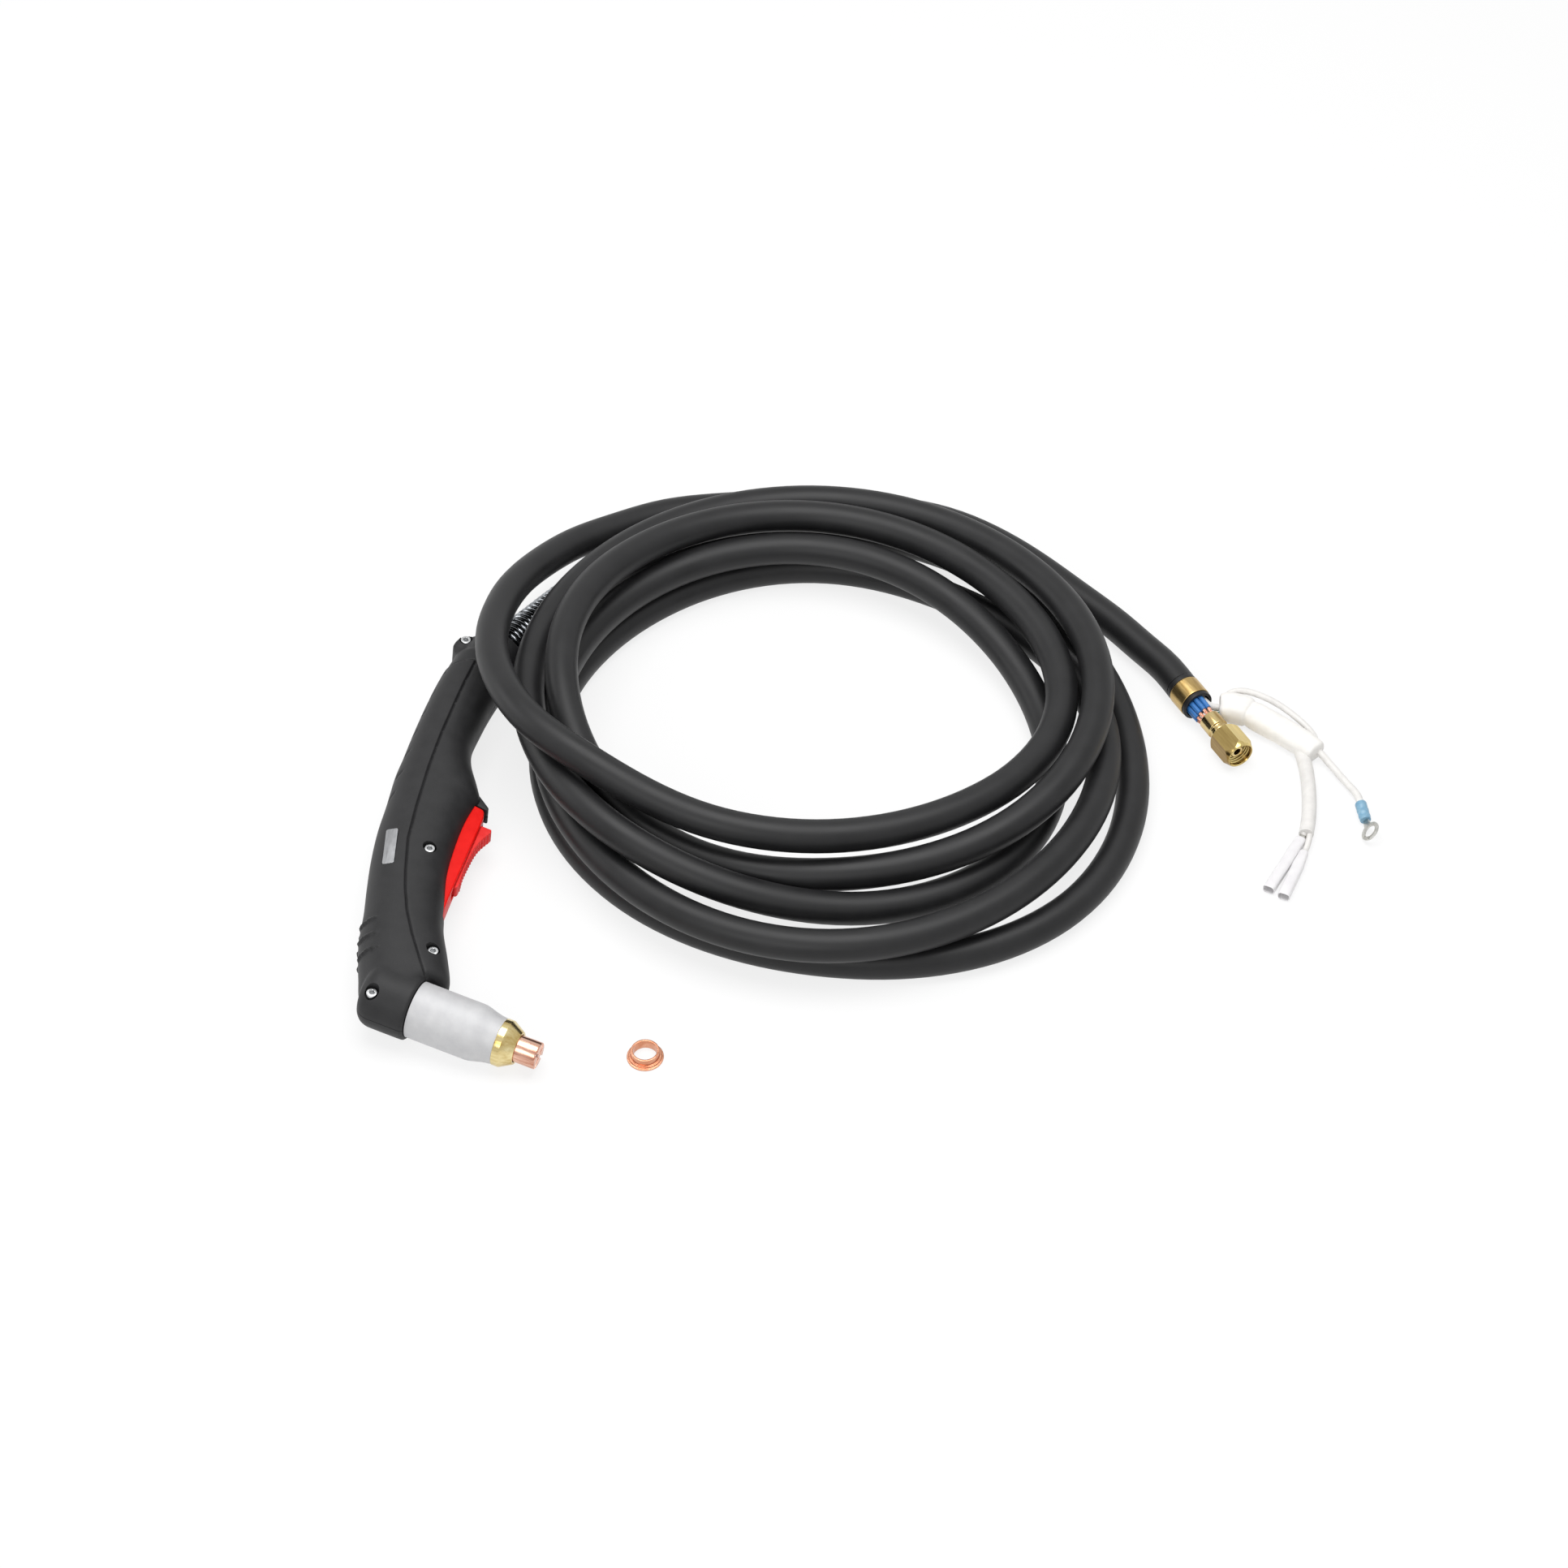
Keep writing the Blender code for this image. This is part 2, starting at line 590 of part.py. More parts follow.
def handle_cavity():
    rings = [section_ring(CAVITY_FOOT, SHELL_WALL)]
    rings += [section_ring(station, SHELL_WALL) for station in HANDLE_STATIONS[2:]]
    cavity = lofted("handle_cavity", rings)
    seat = INSULATOR_RADIUS + SEAT_GAP
    bore = turned("head_bore", (
        (HEAD_BACK + 5.0 * MM, 0.0), (HEAD_BACK + 5.0 * MM, HEAD_BORE_RADIUS),
        (INSULATOR_START - SEAT_GAP, HEAD_BORE_RADIUS), (INSULATOR_START - SEAT_GAP, seat), (5.0 * MM, seat),
        (5.0 * MM, 0.0)), phase=CUTTER_PHASE)
    combine(cavity, bore, "UNION")
    lead_bore = spring_outer_radius() + SEAT_GAP
    collar_bore = turned("collar_bore", (
        (-3.0 * MM, 0.0), (-3.0 * MM, lead_bore), (COLLAR_LENGTH + 4.0 * MM, lead_bore),
        (COLLAR_LENGTH + 4.0 * MM, 0.0)), phase=CUTTER_PHASE)
    collar_bore.data.transform(collar_matrix())
    combine(cavity, collar_bore, "UNION")
    return cavity


# Columns moulded on the shells, which stay solid inside the cavity: centre, radius, height where they stop

def shell_columns():
    columns = [((x * MM, y * MM), SCREW_BOSS_RADIUS, 0.0) for x, y, floor in HANDLE_SCREWS[:3]]
    columns.append((PIVOT[:2], PIVOT_BOSS_RADIUS, TRIGGER_HALF_WIDTH + 2 * SLIDE_GAP))
    for shift in (-11.0 * MM, 11.0 * MM):
        pad = switch_matrix() @ Vector((0.0, shift, 0.0))
        columns.append((pad[:2], SWITCH_PAD_RADIUS, SWITCH_SIZE.z / 2 + SEAT_GAP))
    for x, y, z in (GAS_TUBE_ROUTE[2], GAS_TUBE_ROUTE[6], GAS_TUBE_ROUTE[8]):
        columns.append(((x * MM, y * MM), GAS_TUBE_RADIUS, GAS_TUBE_RADIUS + SEAT_GAP))
    return columns


GAS_TUBE_RADIUS = 4.0 * MM
GAS_TUBE_ROUTE = (
    (-9.5, 12.6, 0.0), (-13.2, 22.0, 0.0), (-24.0, 42.0, 0.0), (-36.0, 62.0, 0.0), (-47.0, 84.0, 0.0),
    (-55.0, 108.0, 0.0), (-61.0, 135.0, 0.0), (-65.0, 165.0, 0.0), (-67.8, 200.0, 0.0), (-68.2, 229.4, 0.0),
)
SWITCH_WIRE_RADIUS = 1.1 * MM
SWITCH_WIRE_ROUTE = (
    (-44.6, 129.6), (-48.5, 140.0), (-54.5, 155.0), (-59.0, 180.0), (-61.2, 205.0), (-62.4, 228.9),
)


def switch_matrix():
    return Matrix.Translation(SWITCH_CENTRE) @ Matrix.Rotation(SWITCH_TURN, 4, "Z")


def plate_matrix():
    turn = Matrix.Rotation(PLATE_TURN, 4, "Z") @ Matrix.Rotation(PLATE_TILT, 4, "X")
    return Matrix.Translation(PLATE_CENTRE) @ turn


def handle_shells(torch):
    body = handle_outside()
    cavity = handle_cavity()
    reach = 40.0 * MM
    for centre, radius, stop in shell_columns():
        if stop == 0.0:
            combine(cavity, post("column", centre, radius, -reach, reach), "DIFFERENCE")
        else:
            combine(cavity, post("column", centre, radius, stop, reach), "DIFFERENCE")
            combine(cavity, post("column", centre, radius, -reach, -stop), "DIFFERENCE")
    combine(body, cavity, "DIFFERENCE")
    cup_face = -1.2 * SEAT_GAP
    cup_room = turned("cup_room", ((cup_face, 0.0), (cup_face, CUP_RADIUS + 2 * SEAT_GAP),
                                   (20.0 * MM, CUP_RADIUS + 2 * SEAT_GAP), (20.0 * MM, 0.0)), phase=CUTTER_PHASE)
    combine(body, cup_room, "DIFFERENCE")
    slot_half = TRIGGER_HALF_WIDTH + SLIDE_GAP
    combine(body, extruded("trigger_slot", TRIGGER_SLOT, -slot_half, slot_half), "DIFFERENCE")
    for x, y, floor in HANDLE_SCREWS:
        spot = (x * MM, y * MM)
        combine(body, post("counterbore", spot, COUNTERBORE_RADIUS, floor * MM, reach), "DIFFERENCE")
        hole_end = SCREW_END - SEAT_GAP
        if spot[1] > COLLAR_START.y:
            hole_end = -reach
        combine(body, post("screw_hole", spot, SCREW_SHANK_RADIUS + SEAT_GAP, hole_end, reach), "DIFFERENCE")
    pin_half = PIVOT_PIN_HALF + SEAT_GAP
    combine(body, post("pin_hole", PIVOT[:2], PIVOT_PIN_RADIUS + SEAT_GAP, -pin_half, pin_half), "DIFFERENCE")
    pocket = (PLATE_LENGTH + 2 * SEAT_GAP, PLATE_WIDTH + 2 * SEAT_GAP, 6.0 * MM)
    lift = Matrix.Translation((0, 0, pocket[2] / 2 - PLATE_THICKNESS / 2 - SEAT_GAP))
    combine(body, block("plate_pocket", pocket, plate_matrix() @ lift), "DIFFERENCE")
    lower = copy_of(body, "handle_shell_lower")
    body.name = "handle_shell_upper"
    span = (400.0 * MM, 700.0 * MM, 100.0 * MM)
    sink = (span[2] - PARTING_GAP) / 2
    combine(body, block("under", span, Matrix.Translation((0, 0, -sink))), "DIFFERENCE")
    combine(lower, block("over", span, Matrix.Translation((0, 0, sink))), "DIFFERENCE")
    finish_piece(body, "black_nylon", torch)
    finish_piece(lower, "black_nylon", torch)


def handle_screws(torch):
    for number, (x, y, floor) in enumerate(HANDLE_SCREWS, 1):
        seat = floor * MM + SEAT_GAP
        top = seat + SCREW_HEAD_HEIGHT
        screw = turned("handle_screw_%d" % number, (
            (SCREW_END, 0.0), (SCREW_END, SCREW_SHANK_RADIUS), (seat, SCREW_SHANK_RADIUS),
            (seat, SCREW_HEAD_RADIUS), (top - 0.3 * MM, SCREW_HEAD_RADIUS), (top, SCREW_HEAD_RADIUS - 0.3 * MM),
            (top, 0.0)), steps=16)
        screw.data.transform(Matrix.Rotation(-math.pi / 2, 4, "Y"))
        combine(screw, post("socket", (0.0, 0.0), SOCKET_RADIUS, top - SOCKET_DEPTH, top + SOCKET_DEPTH, 6), "DIFFERENCE")
        screw.location = (x * MM, y * MM, 0.0)
        finish_piece(screw, "steel", torch)


def handle_plate(torch):
    plate = block("handle_plate", (PLATE_LENGTH, PLATE_WIDTH, PLATE_THICKNESS), plate_matrix())
    finish_piece(plate, "silver_foil", torch)


# Trigger group

def release_edge(distance, inset):
    # A point on the trigger's outer edge, measured up the handle from RELEASE_START and in from the edge
    inward = Vector((-RELEASE_RUN.y, RELEASE_RUN.x, 0.0))
    foot = Vector((TRIGGER_OUTLINE[1][0], TRIGGER_OUTLINE[1][1], 0.0)) * MM
    shift = (RELEASE_START - foot.y) / RELEASE_RUN.y
    return foot + RELEASE_RUN * (shift + distance) + inward * inset


def to_outline(points):
    return [(point.x / MM, point.y / MM) for point in points]


def trigger_parts(torch):
    lever = extruded("trigger", TRIGGER_OUTLINE, -TRIGGER_HALF_WIDTH, TRIGGER_HALF_WIDTH)
    groove_end = RELEASE_TONGUE_LENGTH + RELEASE_TRAVEL_ROOM
    groove = to_outline((
        release_edge(-SEAT_GAP, -4.0 * MM), release_edge(groove_end, -4.0 * MM),
        release_edge(groove_end, RELEASE_GROOVE_DEPTH), release_edge(-SEAT_GAP, RELEASE_GROOVE_DEPTH)))
    groove_half = RELEASE_TONGUE_HALF + SEAT_GAP
    combine(lever, extruded("groove", groove, -groove_half, groove_half), "DIFFERENCE")
    bore = post("pivot_bore", PIVOT[:2], PIVOT_PIN_RADIUS + SEAT_GAP, -20.0 * MM, 20.0 * MM)
    combine(lever, bore, "DIFFERENCE")
    finish_piece(lever, "red_plastic", torch, origin=PIVOT)

    depth = RELEASE_GROOVE_DEPTH - SEAT_GAP
    tongue = to_outline((
        release_edge(0.0, -1.0 * MM), release_edge(RELEASE_TONGUE_LENGTH, -1.0 * MM),
        release_edge(RELEASE_TONGUE_LENGTH, depth), release_edge(0.0, depth)))
    slide = extruded("trigger_release", tongue, -RELEASE_TONGUE_HALF, RELEASE_TONGUE_HALF)
    foot = to_outline((release_edge(RELEASE_TONGUE_LENGTH, -SEAT_GAP), release_edge(0.0, -SEAT_GAP)))
    combine(slide, extruded("crown", list(RELEASE_CROWN[1:]) + foot, -RELEASE_HALF_WIDTH, RELEASE_HALF_WIDTH), "UNION")
    finish_piece(slide, "pale_red_plastic", torch, origin=release_edge(0.0, 0.0))

    seat = release_edge(RELEASE_TONGUE_LENGTH + SEAT_GAP, RELEASE_GROOVE_DEPTH / 2 + 0.1 * MM)
    room = RELEASE_TRAVEL_ROOM - 2 * SEAT_GAP - 2 * RELEASE_SPRING_WIRE
    helix = curls(straight_axis(seat + RELEASE_RUN * RELEASE_SPRING_WIRE, RELEASE_RUN), 0.0,
                  room / RELEASE_SPRING_CURLS, RELEASE_SPRING_CURLS, RELEASE_SPRING_RADIUS, SMALL_CURL_POINTS)
    print("release spring gap mm", round(least_gap(helix, RELEASE_SPRING_WIRE, 5 * RELEASE_SPRING_RADIUS) / MM, 2))
    tube("release_return_spring", helix, RELEASE_SPRING_WIRE, "steel", torch, resolution=1)

    pin = turned("trigger_pivot_pin", ((-PIVOT_PIN_HALF, 0.0), (-PIVOT_PIN_HALF, PIVOT_PIN_RADIUS),
                                       (PIVOT_PIN_HALF, PIVOT_PIN_RADIUS), (PIVOT_PIN_HALF, 0.0)), steps=16)
    pin.data.transform(Matrix.Rotation(math.pi / 2, 4, "Y"))
    pin.location = PIVOT
    finish_piece(pin, "steel", torch)


# Distance from a point on the switch's face to the trigger's inner edge

def trigger_face_distance(station):
    face = switch_matrix() @ Vector((SWITCH_SIZE.x / 2, station, 0.0))
    outward = switch_matrix().to_3x3() @ Vector((1.0, 0.0, 0.0))
    low = Vector((*TRIGGER_OUTLINE[6], 0.0)) * MM
    high = Vector((*TRIGGER_OUTLINE[5], 0.0)) * MM
    edge = (high - low).normalized()
    normal = Vector((edge.y, -edge.x, 0.0))
    return (low - face).dot(normal) / outward.dot(normal)


def switch_parts(torch):
    matrix = switch_matrix()
    switch = block("switch_body", SWITCH_SIZE, matrix)
    bore = turned("plunger_bore", (
        (SWITCH_SIZE.x / 2 - PLUNGER_BLIND, 0.0), (SWITCH_SIZE.x / 2 - PLUNGER_BLIND, PLUNGER_RADIUS + SEAT_GAP),
        (SWITCH_SIZE.x, PLUNGER_RADIUS + SEAT_GAP), (SWITCH_SIZE.x, 0.0)), steps=16)
    bore.data.transform(matrix @ Matrix.Translation((0, PLUNGER_STATION, 0)))
    combine(switch, bore, "DIFFERENCE")
    finish_piece(switch, "black_nylon", torch)

    reach = trigger_face_distance(PLUNGER_STATION - PLUNGER_RADIUS) - SEAT_GAP
    back = -0.6 * MM
    plunger = turned("switch_plunger", (
        (back, 0.0), (back, PLUNGER_RADIUS), (reach - 0.6 * MM, PLUNGER_RADIUS),
        (reach, PLUNGER_RADIUS - 0.6 * MM), (reach, 0.0)), steps=16)
    spot = matrix @ Vector((SWITCH_SIZE.x / 2, PLUNGER_STATION, 0.0))
    plunger.data.transform(matrix.to_3x3().to_4x4())
    plunger.location = spot
    finish_piece(plunger, "red_plastic", torch)

    outward = matrix.to_3x3() @ Vector((1.0, 0.0, 0.0))
    seat = matrix @ Vector((SWITCH_SIZE.x / 2, RETURN_SPRING_STATION, 0.0))
    room = trigger_face_distance(RETURN_SPRING_STATION - RETURN_SPRING_RADIUS) - 2 * (SEAT_GAP + RETURN_SPRING_WIRE)
    helix = curls(straight_axis(seat + outward * (SEAT_GAP + RETURN_SPRING_WIRE), outward), 0.0,
                  room / RETURN_SPRING_CURLS, RETURN_SPRING_CURLS, RETURN_SPRING_RADIUS, SMALL_CURL_POINTS)
    print("trigger spring gap mm", round(least_gap(helix, RETURN_SPRING_WIRE, 5 * RETURN_SPRING_RADIUS) / MM, 2))
    tube("trigger_return_spring", helix, RETURN_SPRING_WIRE, "steel", torch, resolution=1)

    for number, height in enumerate((2.4 * MM, -2.4 * MM), 1):
        route = [(x, y, height / MM) for x, y in SWITCH_WIRE_ROUTE]
        tube("switch_wire_%d" % number, smooth_points(route, 9.0 * MM), SWITCH_WIRE_RADIUS, "white_silicone", torch,
             resolution=1)
    tube("power_gas_tube", smooth_points(GAS_TUBE_ROUTE, 16.0 * MM), GAS_TUBE_RADIUS, "black_rubber", torch, resolution=2)


# Head, consumables and cup, all turned about the cup axis

def head_parts(torch):
    core = turned("torch_head_body", (
        (HEAD_BODY_START, 0.0), (HEAD_BODY_START, HEAD_BODY_RADIUS), (HEAD_BODY_END, HEAD_BODY_RADIUS),
        (HEAD_BODY_END, ELECTRODE_RADIUS + SEAT_GAP), (ELECTRODE_START - SEAT_GAP, ELECTRODE_RADIUS + SEAT_GAP),
        (ELECTRODE_START - SEAT_GAP, 0.0)))
    finish_piece(core, "brass", torch)
    sleeve_bore = HEAD_BODY_RADIUS + SEAT_GAP
    sleeve = turned("head_insulator", (
        (INSULATOR_START, sleeve_bore), (INSULATOR_START, INSULATOR_RADIUS), (INSULATOR_END, INSULATOR_RADIUS),
        (INSULATOR_END, sleeve_bore)))
    finish_piece(sleeve, "phenolic", torch)
    middle = INSULATOR_END + SEAT_GAP + SEAL_WIRE
    ring = sleeve_bore + SEAL_WIRE
    seal = turned("head_seal_ring", [
        (middle + SEAL_WIRE * math.cos(math.tau * i / 8), ring + SEAL_WIRE * math.sin(math.tau * i / 8))
        for i in range(8)], steps=16)
    finish_piece(seal, "black_rubber", torch)
    electrode = turned("electrode", (
        (ELECTRODE_START, 0.0), (ELECTRODE_START, ELECTRODE_RADIUS), (ELECTRODE_END - 1.5 * MM, ELECTRODE_RADIUS),
        (ELECTRODE_END, ELECTRODE_RADIUS - 1.5 * MM), (ELECTRODE_END, 0.0)))
    finish_piece(electrode, "copper", torch)
    start = HEAD_BODY_END + SEAT_GAP
    distributor = turned("gas_distributor", (
        (start, ELECTRODE_RADIUS + SEAT_GAP), (start, DISTRIBUTOR_RADIUS), (start + DISTRIBUTOR_LENGTH, DISTRIBUTOR_RADIUS),
        (start + DISTRIBUTOR_LENGTH, ELECTRODE_RADIUS + SEAT_GAP)))
    finish_piece(distributor, "ceramic", torch)

    back = start + DISTRIBUTOR_LENGTH + SEAT_GAP
    shoulder = back + TIP_SKIRT_LENGTH
    floor = ELECTRODE_END + 2.5 * MM
    tip = turned("cutting_tip", (
        (back, TIP_SKIRT_BORE), (back, TIP_SKIRT_RADIUS), (shoulder, TIP_SKIRT_RADIUS), (shoulder, TIP_RADIUS),
        (TIP_END - 0.8 * MM, TIP_RADIUS), (TIP_END, TIP_RADIUS - 0.8 * MM), (TIP_END, TIP_ORIFICE),
        (floor, TIP_ORIFICE), (floor, TIP_SKIRT_BORE)))
    for turn in (0.0, math.pi / 2):
        slot = Matrix.Rotation(turn, 4, "X") @ Matrix.Translation((TIP_END, 0, 0))
        combine(tip, block("tip_slot", (2 * TIP_SLOT_DEPTH, TIP_SLOT_WIDTH, 3 * TIP_RADIUS), slot), "DIFFERENCE")
    finish_piece(tip, "copper", torch)

    bore = INSULATOR_RADIUS + SEAT_GAP
    nose_bore = CUP_END_RADIUS - CUP_NOSE_WALL
    taper = CUP_END - CUP_STRAIGHT
    cup = turned("shield_cup", (
        (SEAT_GAP, bore), (SEAT_GAP, CUP_RADIUS), (CUP_STRAIGHT, CUP_RADIUS),
        (CUP_STRAIGHT + 0.4 * taper, CUP_RADIUS - 0.6 * MM), (CUP_STRAIGHT + 0.75 * taper, CUP_END_RADIUS + 0.9 * MM),
        (CUP_END, CUP_END_RADIUS), (CUP_END, nose_bore), (shoulder - 1.0 * MM, nose_bore),
        (CUP_STRAIGHT + 0.2 * taper, bore)))
    finish_piece(cup, "grey_satin", torch)

    face = CUP_END + SEAT_GAP
    spigot = nose_bore - SEAT_GAP
    hole = TIP_RADIUS + SLIDE_GAP
    rim = face + END_RING_STRAIGHT
    ring = turned("cup_end_ring", (
        (shoulder + SEAT_GAP, hole), (shoulder + SEAT_GAP, spigot), (face, spigot), (face, CUP_END_RADIUS),
        (rim, CUP_END_RADIUS), (rim + END_RING_CONE, END_RING_TIP_RADIUS), (rim + END_RING_CONE, hole)))
    finish_piece(ring, "brass", torch)


# Lead

def torch_matrix():
    turn = Euler((TORCH_PITCH, TORCH_ROLL, TORCH_TURN)).to_matrix().to_4x4()
    return Matrix.Translation(TORCH_PLACE) @ turn


def end_matrix():
    return Matrix.Translation(END_PLACE) @ Matrix.Rotation(END_BEARING, 4, "Z")


def coil_points():
    stations = [station for turn in COIL_TURNS for station in turn]
    count = len(stations)
    read = cubic_through(range(count), stations)
    steps = COIL_POINTS_PER_TURN // 8
    points = []
    for i in range((count - 1) * steps + 1):
        radius, height = read(i / steps)
        bearing = math.pi / 2 - math.tau * i / COIL_POINTS_PER_TURN
        height = max(height * MM, LEAD_RADIUS + 0.05 * MM)
        points.append(Vector((radius * MM * math.cos(bearing), radius * MM * math.sin(bearing), height)))
    return points


# Square off a joint between two stretches: one diameter each way runs straight, with a gap between the faces

def square_joint(before, after, along):
    middle = after[0].copy()
    straight = 2.0 * LEAD_RADIUS
    while (before[-1] - middle).length < 1.4 * straight:
        before.pop()
    while (after[0] - middle).length < 1.4 * straight:
        after.pop(0)
    before += [middle - along * straight, middle - along * SEAT_GAP / 2]
    after[:0] = [middle + along * SEAT_GAP / 2, middle + along * straight]


def lead_parts(layout):
    matrix = torch_matrix()
    inside = matrix @ (COLLAR_START + collar_axis() * LEAD_INSET)
    outlet = matrix @ (COLLAR_START + collar_axis() * COLLAR_LENGTH)
    coil = coil_points()
    end_axis = end_matrix().to_3x3() @ Vector((1.0, 0.0, 0.0))
    near_end = END_PLACE - end_axis * 2 * LEAD_RADIUS
    whole = [inside, outlet] + [Vector(point) * MM for point in TAIL_ROUTE] + coil
    coil_first = len(whole) - len(coil)
    coil_last = len(whole) - 1
    whole += [Vector(point) * MM for point in RUN_OUT_ROUTE] + [near_end, END_PLACE]
    read, along = smooth_route(whole)
    tail = sampled(read, 0.0, along[coil_first], TAIL_STEP)
    run_out = sampled(read, along[coil_last], along[-2], LEAD_STEP) + [END_PLACE]
    for before, after, place in ((tail, coil, along[coil_first]), (coil, run_out, along[coil_last])):
        heading = Vector(read(place + 0.5 * MM)) - Vector(read(place - 0.5 * MM))
        square_joint(before, after, heading.normalized())
    print("lead length mm", round(along[-1] / MM))
    print("lead coil gap mm", round(least_gap(coil, LEAD_RADIUS, 8 * LEAD_RADIUS) / MM, 2))
    print("whole lead gap mm", round(least_gap(tail + coil + run_out, LEAD_RADIUS, 8 * LEAD_RADIUS) / MM, 2))
    tube("lead_tail", tail, LEAD_RADIUS, "black_rubber", layout)
    tube("lead_coil", coil, LEAD_RADIUS, "black_rubber", layout, resolution=1)
    tube("lead_run_out", run_out, LEAD_RADIUS, "black_rubber", layout)

    radius = spring_outer_radius() - SPRING_WIRE
    helix = curls(read, SPRING_START, SPRING_PITCH, SPRING_CURLS, radius, SPRING_CURL_POINTS)
    print("strain relief gap mm", round(least_gap(helix, SPRING_WIRE, 5 * radius) / MM, 2))
    tube("strain_relief_spring", helix, SPRING_WIRE, "blued_steel", layout, resolution=1)


# Lead end: mouth, band, wires and fitting about the end frame's X axis

def lead_end_parts(end):
    groove = BAND_RADIUS - BAND_WALL - SEAT_GAP
    band_end = BAND_START + BAND_LENGTH
    mouth = turned("lead_mouth", (
        (SEAT_GAP, 0.0), (SEAT_GAP, LEAD_RADIUS), (BAND_START - SEAT_GAP, LEAD_RADIUS), (BAND_START - SEAT_GAP, groove),
        (band_end + SEAT_GAP, groove), (band_end + SEAT_GAP, MOUTH_LIP_RADIUS), (MOUTH_LENGTH - 0.6 * MM, MOUTH_LIP_RADIUS),
        (MOUTH_LENGTH, MOUTH_LIP_RADIUS - 0.6 * MM), (MOUTH_LENGTH, MOUTH_BORE), (MOUTH_FLOOR, MOUTH_BORE),
        (MOUTH_FLOOR, 0.0)))
    finish_piece(mouth, "black_rubber", end)
    band = turned("lead_band", (
        (BAND_START, BAND_RADIUS - BAND_WALL), (BAND_START, BAND_RADIUS), (band_end, BAND_RADIUS),
        (band_end, BAND_RADIUS - BAND_WALL)))
    finish_piece(band, "brass", end)

    for number, bearing in enumerate(BLUE_WIRE_BEARINGS, 1):
        side = Vector((0.0, math.cos(math.radians(bearing)), math.sin(math.radians(bearing))))
        ends = ((MOUTH_FLOOR + SEAT_GAP, WIRE_RING_MOUTH), (MOUTH_LENGTH - 3.0 * MM, WIRE_RING_MOUTH),
                (WIRE_END - 5.0 * MM, WIRE_RING_BARREL), (WIRE_END, WIRE_RING_BARREL))
        points = [Vector((station, 0, 0)) + side * radius for station, radius in ends]
        tube("blue_wire_%d" % number, points, BLUE_WIRE_RADIUS, "blue_pvc", end, resolution=1)
        strand = (Vector((WIRE_END + SEAT_GAP, 0, 0)) + side * WIRE_RING_BARREL,
                  Vector((BARREL_START + BARREL_BORE_DEPTH - SEAT_GAP, 0, 0)) + side * WIRE_RING_BARREL)
        tube("copper_strand_%d" % number, strand, STRAND_RADIUS, "copper", end, resolution=1)

    barrel_end = BARREL_START + BARREL_LENGTH
    barrel = turned("fitting_barrel", (
        (BARREL_START + BARREL_BORE_DEPTH, 0.0), (BARREL_START + BARREL_BORE_DEPTH, BARREL_BORE), (BARREL_START, BARREL_BORE),
        (BARREL_START, BARREL_RADIUS), (barrel_end - 0.5 * MM, BARREL_RADIUS), (barrel_end, BARREL_RADIUS - 0.5 * MM),
        (barrel_end, 0.0)))
    finish_piece(barrel, "brass", end)

    stem = barrel_end + SEAT_GAP
    shoulder = NUT_START + NUT_BACK_WALL + SLIDE_GAP
    head_radius = NUT_BORE - SLIDE_GAP
    nose = shoulder + NIPPLE_HEAD_LENGTH
    tip = nose + NIPPLE_NOSE_LENGTH
    nipple = turned("fitting_nipple", (
        (stem, NIPPLE_BORE), (stem, NIPPLE_STEM_RADIUS), (shoulder, NIPPLE_STEM_RADIUS), (shoulder, head_radius),
        (nose, head_radius), (tip, NIPPLE_NOSE_RADIUS), (tip, NIPPLE_BORE)))
    finish_piece(nipple, "brass", end)

    nut_end = NUT_START + NUT_LENGTH
    corner = NUT_ACROSS_FLATS / math.sqrt(3.0)
    trim = NUT_ACROSS_FLATS / 2
    nut = turned("swivel_nut", (
        (NUT_START, NIPPLE_STEM_RADIUS + SLIDE_GAP), (NUT_START, corner), (nut_end, corner), (nut_end, NUT_BORE),
        (NUT_START + NUT_BACK_WALL, NUT_BORE), (NUT_START + NUT_BACK_WALL, NIPPLE_STEM_RADIUS + SLIDE_GAP)), steps=6)
    nut.data.transform(Matrix.Rotation(math.pi / 2, 4, "X"))
    round_off = turned("round_off", (
        (NUT_START, 0.0), (NUT_START, trim - 0.3 * MM), (NUT_START + NUT_CHAMFER, corner + 0.1 * MM),
        (nut_end - NUT_CHAMFER, corner + 0.1 * MM), (nut_end, trim - 0.3 * MM), (nut_end, 0.0)))
    combine(nut, round_off, "INTERSECT")
    bore = turned("nut_bore", ((NUT_START + NUT_BACK_WALL, 0.0), (NUT_START + NUT_BACK_WALL, NUT_BORE),
                               (nut_end + 2.0 * MM, NUT_BORE), (nut_end + 2.0 * MM, 0.0)))
    combine(nut, bore, "DIFFERENCE")
    back_hole = turned("nut_back_hole", ((NUT_START - 2.0 * MM, 0.0), (NUT_START - 2.0 * MM, NIPPLE_STEM_RADIUS + SLIDE_GAP),
                                         (nut_end, NIPPLE_STEM_RADIUS + SLIDE_GAP), (nut_end, 0.0)))
    combine(nut, back_hole, "DIFFERENCE")
    finish_piece(nut, "brass", end)


# Control branch

def oval_ring(centre, along, half_width, half_height, sides=14):
    across = Vector((along.y, -along.x, 0.0)).normalized()
    return [centre + across * half_width * math.cos(math.tau * i / sides)
            + Vector((0, 0, half_height * math.sin(math.tau * i / sides))) for i in range(sides)]


